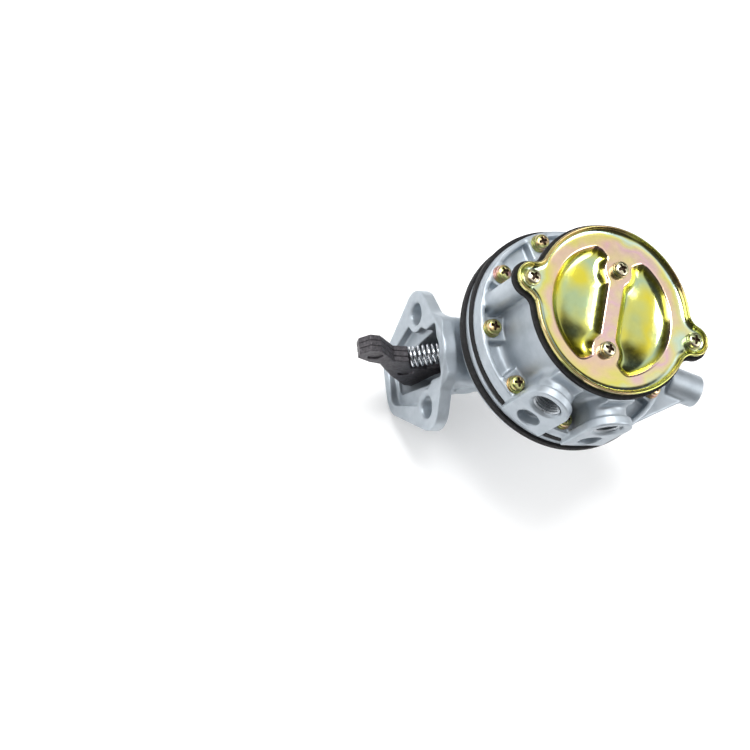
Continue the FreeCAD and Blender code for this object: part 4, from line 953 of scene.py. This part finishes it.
def fasteners():
    """Screws and washers of the flange and of the cover."""
    flange = [polar(SCREW_CIRCLE_R, 360 / SCREW_COUNT * i, SCREW_SEAT) for i in range(SCREW_COUNT)]
    cover = [polar(EAR_CIRCLE_R, a, COVER_FACE) for a in EAR_DIRS]
    cover += [polar(BAR_SCREW_R, a, COVER_FACE) for a in (COVER_DIR, COVER_DIR + 180)]
    turns = np.random.default_rng(7).uniform(0, 1.5, 14)
    groups = (
        ("flange", flange, "screws", "screw_zinc", FLAT_WASHER[2], FLANGE_SCREW_LENGTH),
        ("cover", cover, "cover_screws", "cover_screw_zinc", 0.0, COVER_SCREW_LENGTH),
    )
    for name, places, material, slot, washer_t, length in groups:
        screw = screw_mesh(material, length)
        lock = ring_mesh(name + "_lock", LOCK_WASHER, material)
        flat = ring_mesh(name + "_flat", FLAT_WASHER, material)
        for i, (x, y, z) in enumerate(places):
            turn = turns[i] * 1.7
            level = z + washer_t
            stack = [(screw, "screw", level + LOCK_SEAT, turns[i]), (lock, "lock_washer", level, turn)]
            if washer_t:
                stack.append((flat, "washer", z, turn))
            for source, kind, place_z, spin in stack:
                placed(source, f"{name}_{kind}_{i + 1}", (x, y, place_z), spin, ROOT, slot, f"{name}_{kind}s")
        for source in (screw, lock, flat):
            bpy.data.objects.remove(source)


def arm_pieces():
    """Three stamped plates of the rocker arm, with the holes for their two rivets."""
    for name, row, end in (("left", 1, AXIS_X), ("middle", 0, MIDDLE_PLATE_END), ("right", -1, AXIS_X)):
        middle = row * PLATE_T
        half = PLATE_T / 2
        space = Space((-41, middle - half, -29), (60.5, middle + half, 24), PLATE_STEP)
        x, y, z = space.x, space.y, space.z
        flat = polygon(x, z, ARM_CORNERS)
        share = (end - PIVOT_X) / (AXIS_X - PIVOT_X)
        lever = tapered(x, z, (PIVOT_X, PIVOT_Z, 5.0), (end, PIVOT_Z - LEVER_DROP * share, 3.5))
        hub = np.hypot(x - PIVOT_X, z - PIVOT_Z)
        flat = np.minimum(np.minimum(flat, lever), hub - 6.5)
        shape = slab(flat, y, middle - half, middle + half, 0.3)
        shape = carve(shape, hub - 3.05, 0.1)
        countersink = np.maximum(1.5 - np.maximum(3.0 - row * y, 0) * 0.88, 0) if row else 0
        for hole_x, hole_z in RIVETS:
            hole = np.hypot(x - hole_x, z - hole_z)
            shape = carve(shape, hole - (RIVET_R + countersink), 0.1)
        piece = space.mesh("rocker_plate_" + name + "_stamping", shape, finish("phosphate"), 1, 0.5)
        seat(piece, ARM, "rocker_steel", "rocker_plate_" + name)


def polygon(u, v, corners):
    """Distance to a flat outline of corners (u, v)."""
    best = None
    sign = None
    for (au, av), (bu, bv) in zip(corners, corners[-1:] + corners[:-1]):
        eu, ev = bu - au, bv - av
        share = np.clip(((u - au) * eu + (v - av) * ev) / (eu * eu + ev * ev), 0, 1)
        gap = np.hypot(u - au - share * eu, v - av - share * ev)
        best = gap if best is None else np.minimum(best, gap)
        rises = (v >= av) != (v >= bv)
        near, far = (u - au) * (bv - av), (v - av) * (bu - au)
        crossing = rises & (near < far if bv > av else near > far)
        sign = crossing if sign is None else sign ^ crossing
    return np.where(sign, -best, best)


def spring_piece(node_name, sizes, start, end):
    """Compression spring with closed ends between two points in millimetres."""
    name = node_name + "_wire"
    mean_r, wire_r, turns = sizes
    start, end = Vector(start), Vector(end)
    length = (end - start).length
    closed = 2 * wire_r + 0.02
    low = wire_r * 0.9
    pitch = (length - 2 * low - 1.5 * closed) / (turns - 1.5)
    spin = (end - start).to_track_quat("Z", "Y")
    count = int(turns * 40)
    path = []
    for i in range(count + 1):
        done = turns * i / count
        first, last = min(done, 0.75), max(done - turns + 0.75, 0)
        level = low + (first + last) * closed + (done - first - last) * pitch
        turn = 2 * math.pi * done
        path.append(start + spin @ Vector((mean_r * math.cos(turn), mean_r * math.sin(turn), level)))
    curve = bpy.data.curves.new(name, "CURVE")
    curve.dimensions = "3D"
    curve.bevel_depth = wire_r * MM
    curve.bevel_resolution = 5
    curve.use_fill_caps = True
    spline = curve.splines.new("POLY")
    spline.points.add(len(path) - 1)
    for point, place in zip(spline.points, path):
        point.co = (*(place * MM), 1)
    line = bpy.data.objects.new(name + "_line", curve)
    bpy.context.scene.collection.objects.link(line)
    mesh = bpy.data.meshes.new_from_object(line.evaluated_get(bpy.context.evaluated_depsgraph_get()))
    bpy.data.objects.remove(line)
    mesh.polygons.foreach_set("use_smooth", [True] * len(mesh.polygons))
    piece = bpy.data.objects.new(name, mesh)
    bpy.context.scene.collection.objects.link(piece)
    piece.data.materials.clear()
    piece.data.materials.append(finish("wire"))
    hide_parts(node_name)
    return piece


def squashed_spring(node_name, sizes, start, end):
    """Spring hung on the pump body, with a mesh of its own."""
    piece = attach(spring_piece(node_name, sizes, start, end), ROOT)
    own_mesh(piece)


def thread_piece(name, angle):
    """Tapped thread inside a port, one helical ridge."""
    pitch, turns, steps = 1.41, 8, 64
    points = []
    faces = []
    c, s = math.cos(math.radians(angle)), math.sin(math.radians(angle))
    total = turns * steps
    for i in range(total + 1):
        turn = 2 * math.pi * i / steps
        fade = min(i, total - i, steps // 2) / (steps // 2)
        depth = PORT_FACE - 1.2 - pitch * i / steps
        root, crest = PORT_HOLE_R + 0.1, PORT_HOLE_R - 0.75 * fade
        for side, radius in ((-0.5, root), (-0.08, crest), (0.08, crest), (0.5, root)):
            u = depth - side * pitch
            v, w = radius * math.cos(turn), radius * math.sin(turn)
            points.append((AXIS_X + u * c - v * s, u * s + v * c, PORT_LEVEL + w))
    for i in range(total):
        a, b = 4 * i, 4 * (i + 1)
        faces += [(a + k, a + (k + 1) % 4, b + (k + 1) % 4, b + k) for k in range(4)]
    faces += [(0, 3, 2, 1), (4 * total, 4 * total + 1, 4 * total + 2, 4 * total + 3)]
    piece = mesh_object(name, points, faces, finish("machined"), smooth=False)
    return seat(piece, ROOT, "body_casting")


# Operators: one for each piece or group of like pieces, and one for the stage


class PUMP_OT_castings(bpy.types.Operator):
    """Build the three die castings"""

    bl_idname = "pump.castings"
    bl_label = "Castings"

    def execute(self, context):
        housing_piece()
        valve_body_piece()
        spacer_piece()
        for index, angle in enumerate(PORT_DIRS):
            thread_piece(f"port_thread_{index + 1}", angle)
        return {"FINISHED"}


class PUMP_OT_cover(bpy.types.Operator):
    """Build the pressed cover"""

    bl_idname = "pump.cover"
    bl_label = "Cover"

    def execute(self, context):
        cover_piece()
        return {"FINISHED"}


class PUMP_OT_diaphragms(bpy.types.Operator):
    """Build the two pumping diaphragms"""

    bl_idname = "pump.diaphragms"
    bl_label = "Diaphragms"

    def execute(self, context):
        rubber = finish("rubber")
        lower = diaphragm_profile(HOUSING_TOP, SPACER_BOTTOM - HOUSING_TOP, LOWER_WEB, LOWER_DIAPHRAGM_R)
        upper = diaphragm_profile(SPACER_TOP, BODY_BOTTOM - SPACER_TOP, UPPER_WEB, UPPER_DIAPHRAGM_R)
        edge = WEB_EDGE_R - WEB_GAP
        for name, web in (("lower", LOWER_WEB), ("upper", UPPER_WEB)):
            disc = [(ROD_R, web), (edge, web), (edge, web + RUBBER_T), (ROD_R, web + RUBBER_T)]
            lathe(name + "_diaphragm_web", disc, rubber, STACK, "black_rubber", [])
        lathe("lower_diaphragm_moulding", lower, rubber, ROOT, "black_rubber", ["lower_diaphragm"])
        lathe("upper_diaphragm_moulding", upper, rubber, ROOT, "black_rubber", ["upper_diaphragm"], PROUD_BY)
        return {"FINISHED"}


class PUMP_OT_fasteners(bpy.types.Operator):
    """Build the screws and washers"""

    bl_idname = "pump.fasteners"
    bl_label = "Fasteners"

    def execute(self, context):
        fasteners()
        return {"FINISHED"}


class PUMP_OT_arm(bpy.types.Operator):
    """Build the rocker arm's stampings"""

    bl_idname = "pump.arm"
    bl_label = "Rocker arm"

    def execute(self, context):
        arm_pieces()
        return {"FINISHED"}


class PUMP_OT_springs(bpy.types.Operator):
    """Wind the return spring, the diaphragm spring and the valve springs"""

    bl_idname = "pump.springs"
    bl_label = "Springs"

    def execute(self, context):
        first, last = [(x, 0.0, z) for x, z in (SPRING_START, SPRING_END)]
        wire = spring_piece("return_spring", RETURN_SPRING, first, last)
        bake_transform(wire)
        plate, cup = [polar(0, 0, level) for level in MAIN_SPRING_LEVELS]
        squashed_spring("diaphragm_spring", MAIN_SPRING, plate, cup)
        for name, turn, levels in zip(("inlet", "outlet"), EAR_DIRS, VALVE_SPRING_LEVELS):
            disc, cap = [polar(VALVE_CIRCLE_R, turn, level) for level in levels]
            squashed_spring(name + "_valve_spring", VALVE_SPRING, disc, cap)
        return {"FINISHED"}


class PUMP_OT_finishes(bpy.types.Operator):
    """Give the carried-over nodes their finishes"""

    bl_idname = "pump.finishes"
    bl_label = "Finishes"

    def execute(self, context):
        by_slot = {
            "housing_casting": "cast", "spacer_casting": "cast", "body_casting": "cast",
            "rocker_steel": "phosphate", "rivet_steel": "phosphate", "plain_steel": "steel",
            "bright_spring": "wire", "black_rubber": "rubber", "valve_rubber": "rubber",
            "valve_brass": "brass", "cover_zinc": "cover", "screw_zinc": "screws",
            "cover_screw_zinc": "cover_screws",
        }
        for part in frame["record"]["subparts"]:
            carried = frame["nodes"][part["node"]]
            carried.data.materials.clear()
            carried.data.materials.append(finish(by_slot[part["material_slot"]]))
        return {"FINISHED"}


class PUMP_OT_stage(bpy.types.Operator):
    """Set up the floor, the light and the camera"""

    bl_idname = "pump.stage"
    bl_label = "Stage"

    def execute(self, context):
        build_stage(context.scene.stage_sizes)
        return {"FINISHED"}


# Camera, in metres, with its own right, up and back directions
CAMERA_PLACE = (-0.56133, -0.34039, 1.01799)
CAMERA_AXES = ((0.8935, -0.1027, 0.4373), (-0.0340, 0.9552, 0.2939), (-0.4479, -0.2774, 0.8500))
# Soft lamps: name, place, width and height in metres, and power in watts
LAMPS = (
    ("key", (-0.25, 0.45, 1.2), 0.7, 0.7, 16.0),
    ("fill", (-1.1, 0.2, 0.6), 0.7, 0.7, 5.0),
    ("rim", (0.9, -0.3, 0.8), 0.6, 0.6, 5.0),
)
LAMP_TARGET = (0.045, 0.0, 0.03)
FLOOR_HALF = 1600.0
# Share of its own light that the floor shows to the camera, so that it meets the white behind it
FLOOR_GLOW = 0.13
# Light on the part from the studio's walls, for all but mirror-like reflections
WALL_LIGHT = 0.55


def build_stage(settings):
    """Pale floor, soft lamps, the world and the camera."""
    scene = bpy.context.scene
    scene.view_settings.view_transform = "Standard"
    lens = bpy.data.cameras.new("camera")
    lens.lens = settings.lens
    lens.sensor_width = 36.0
    camera = bpy.data.objects.new("camera", lens)
    axes = Matrix(CAMERA_AXES).transposed().to_4x4()
    camera.matrix_world = Matrix.Translation(Vector(CAMERA_PLACE)) @ axes
    scene.collection.objects.link(camera)
    scene.camera = camera

    level = (CAD_BOX[0][2] - settings.floor_gap) / MM
    half = FLOOR_HALF
    corners = [(-half, -half, level), (half, -half, level), (half, half, level), (-half, half, level)]
    floor = mesh_object("floor", corners, [(0, 1, 2, 3)], floor_material(), smooth=False)

    middle = Vector(LAMP_TARGET)
    for name, place, width, height, power in LAMPS:
        light = bpy.data.lights.new(name, "AREA")
        light.shape = "RECTANGLE"
        light.size = width
        light.size_y = height
        light.energy = power
        lamp = bpy.data.objects.new(name, light)
        lamp.location = place
        lamp.rotation_euler = (middle - Vector(place)).to_track_quat("-Z", "Y").to_euler()
        scene.collection.objects.link(lamp)
    build_world()


def floor_material():
    """Matt white studio board."""
    made, tree, shader, levels = substance("white_studio_board", gloss=0.8)
    shader.inputs["Base Color"].default_value = linear("#F4F4F4")
    glow = node(tree, "ShaderNodeEmission", inputs={"Color": (1, 1, 1, 1), "Strength": FLOOR_GLOW})
    path = node(tree, "ShaderNodeLightPath")
    both = node(tree, "ShaderNodeAddShader")
    tree.links.new(shader.outputs["BSDF"], both.inputs[0])
    tree.links.new(glow.outputs["Emission"], both.inputs[1])
    mixed = node(tree, "ShaderNodeMixShader", inputs={"Fac": path.outputs["Is Camera Ray"]})
    tree.links.new(shader.outputs["BSDF"], mixed.inputs[1])
    tree.links.new(both.outputs["Shader"], mixed.inputs[2])
    out = [n for n in tree.nodes if n.type == "OUTPUT_MATERIAL"][0]
    tree.links.new(mixed.outputs["Shader"], out.inputs["Surface"])
    return made


# Black cards round the table, which metal mirrors: direction, and the cosines of a card's edge and core
DARK_CARDS = (
    ((-0.75, -0.42, 0.45), 0.52, 0.7),
    ((0.58, 0.65, 0.45), 0.88, 0.95),
    ((0.40, -0.75, 0.50), 0.84, 0.93),
    ((-0.68, 0.68, 0.27), 0.78, 0.93),
)


def build_world():
    """White studio with black cards for glossy rays, and an even white for the rest."""
    world = bpy.data.worlds.new("studio")
    bpy.context.scene.world = world
    world.use_nodes = True
    tree = world.node_tree
    tree.nodes.clear()
    place = node(tree, "ShaderNodeTexCoord").outputs["Generated"]
    height = node(tree, "ShaderNodeSeparateXYZ", inputs={"Vector": place}).outputs["Z"]
    inputs = {"Value": height, "From Min": 0.05, "From Max": 0.35, "To Min": 0.3, "To Max": 0.92}
    shade = node(tree, "ShaderNodeMapRange", inputs=inputs).outputs["Result"]
    for centre, edge, core in DARK_CARDS:
        inputs = {0: place, 1: Vector(centre).normalized()}
        towards = node(tree, "ShaderNodeVectorMath", {"operation": "DOT_PRODUCT"}, inputs).outputs["Value"]
        inputs = {"Value": towards, "From Min": edge, "From Max": core, "To Min": 1.0, "To Max": 0.05}
        card = node(tree, "ShaderNodeMapRange", inputs=inputs).outputs["Result"]
        shade = node(tree, "ShaderNodeMath", {"operation": "MULTIPLY"}, {0: shade, 1: card}).outputs["Value"]
    seen = node(tree, "ShaderNodeCombineColor", inputs={"Red": shade, "Green": shade, "Blue": shade})
    glossy = node(tree, "ShaderNodeBackground", inputs={"Color": seen.outputs["Color"], "Strength": 1.0})
    plain = node(tree, "ShaderNodeBackground", inputs={"Color": (1, 1, 1, 1), "Strength": WALL_LIGHT})
    bright = node(tree, "ShaderNodeBackground", inputs={"Color": (1, 1, 1, 1), "Strength": 1.0})
    path = node(tree, "ShaderNodeLightPath")
    first = node(tree, "ShaderNodeMixShader", inputs={"Fac": path.outputs["Is Glossy Ray"]})
    tree.links.new(plain.outputs["Background"], first.inputs[1])
    tree.links.new(glossy.outputs["Background"], first.inputs[2])
    second = node(tree, "ShaderNodeMixShader", inputs={"Fac": path.outputs["Is Camera Ray"]})
    tree.links.new(first.outputs["Shader"], second.inputs[1])
    tree.links.new(bright.outputs["Background"], second.inputs[2])
    node(tree, "ShaderNodeOutputWorld", inputs={"Surface": second.outputs["Shader"]})


class PUMP_PT_panel(bpy.types.Panel):
    """Sizes and steps of the fuel pump"""

    bl_label = "Fuel pump"
    bl_space_type = "VIEW_3D"
    bl_region_type = "UI"
    bl_category = "Fuel pump"

    def draw(self, context):
        scene = context.scene
        for title in GROUPS:
            group = getattr(scene, title)
            for name in group.bl_rna.properties.keys():
                if name not in ("rna_type", "name"):
                    self.layout.prop(group, name)
        for step in STEPS:
            self.layout.operator(step.bl_idname)


STEPS = (
    PUMP_OT_finishes, PUMP_OT_castings, PUMP_OT_cover, PUMP_OT_diaphragms, PUMP_OT_fasteners, PUMP_OT_arm,
    PUMP_OT_springs, PUMP_OT_stage,
)
GROUPS = {
    "castings": CastingSettings, "cover_sizes": CoverSettings, "screws": ScrewSettings,
    "finish_colours": FinishColours, "stage_sizes": StageSettings,
}


def register():
    """Adds the classes and the settings."""
    for name, group in GROUPS.items():
        bpy.utils.register_class(group)
        setattr(bpy.types.Scene, name, PointerProperty(type=group))
    for step in STEPS + (PUMP_PT_panel,):
        bpy.utils.register_class(step)


def unregister():
    """Takes the classes and the settings away again."""
    for step in reversed(STEPS + (PUMP_PT_panel,)):
        bpy.utils.unregister_class(step)
    for name, group in reversed(GROUPS.items()):
        delattr(bpy.types.Scene, name)
        bpy.utils.unregister_class(group)


def main():
    """Builds everything."""
    register()
    for step in STEPS:
        group, action = step.bl_idname.split(".")
        getattr(getattr(bpy.ops, group), action)()


if __name__ == "__main__":
    main()
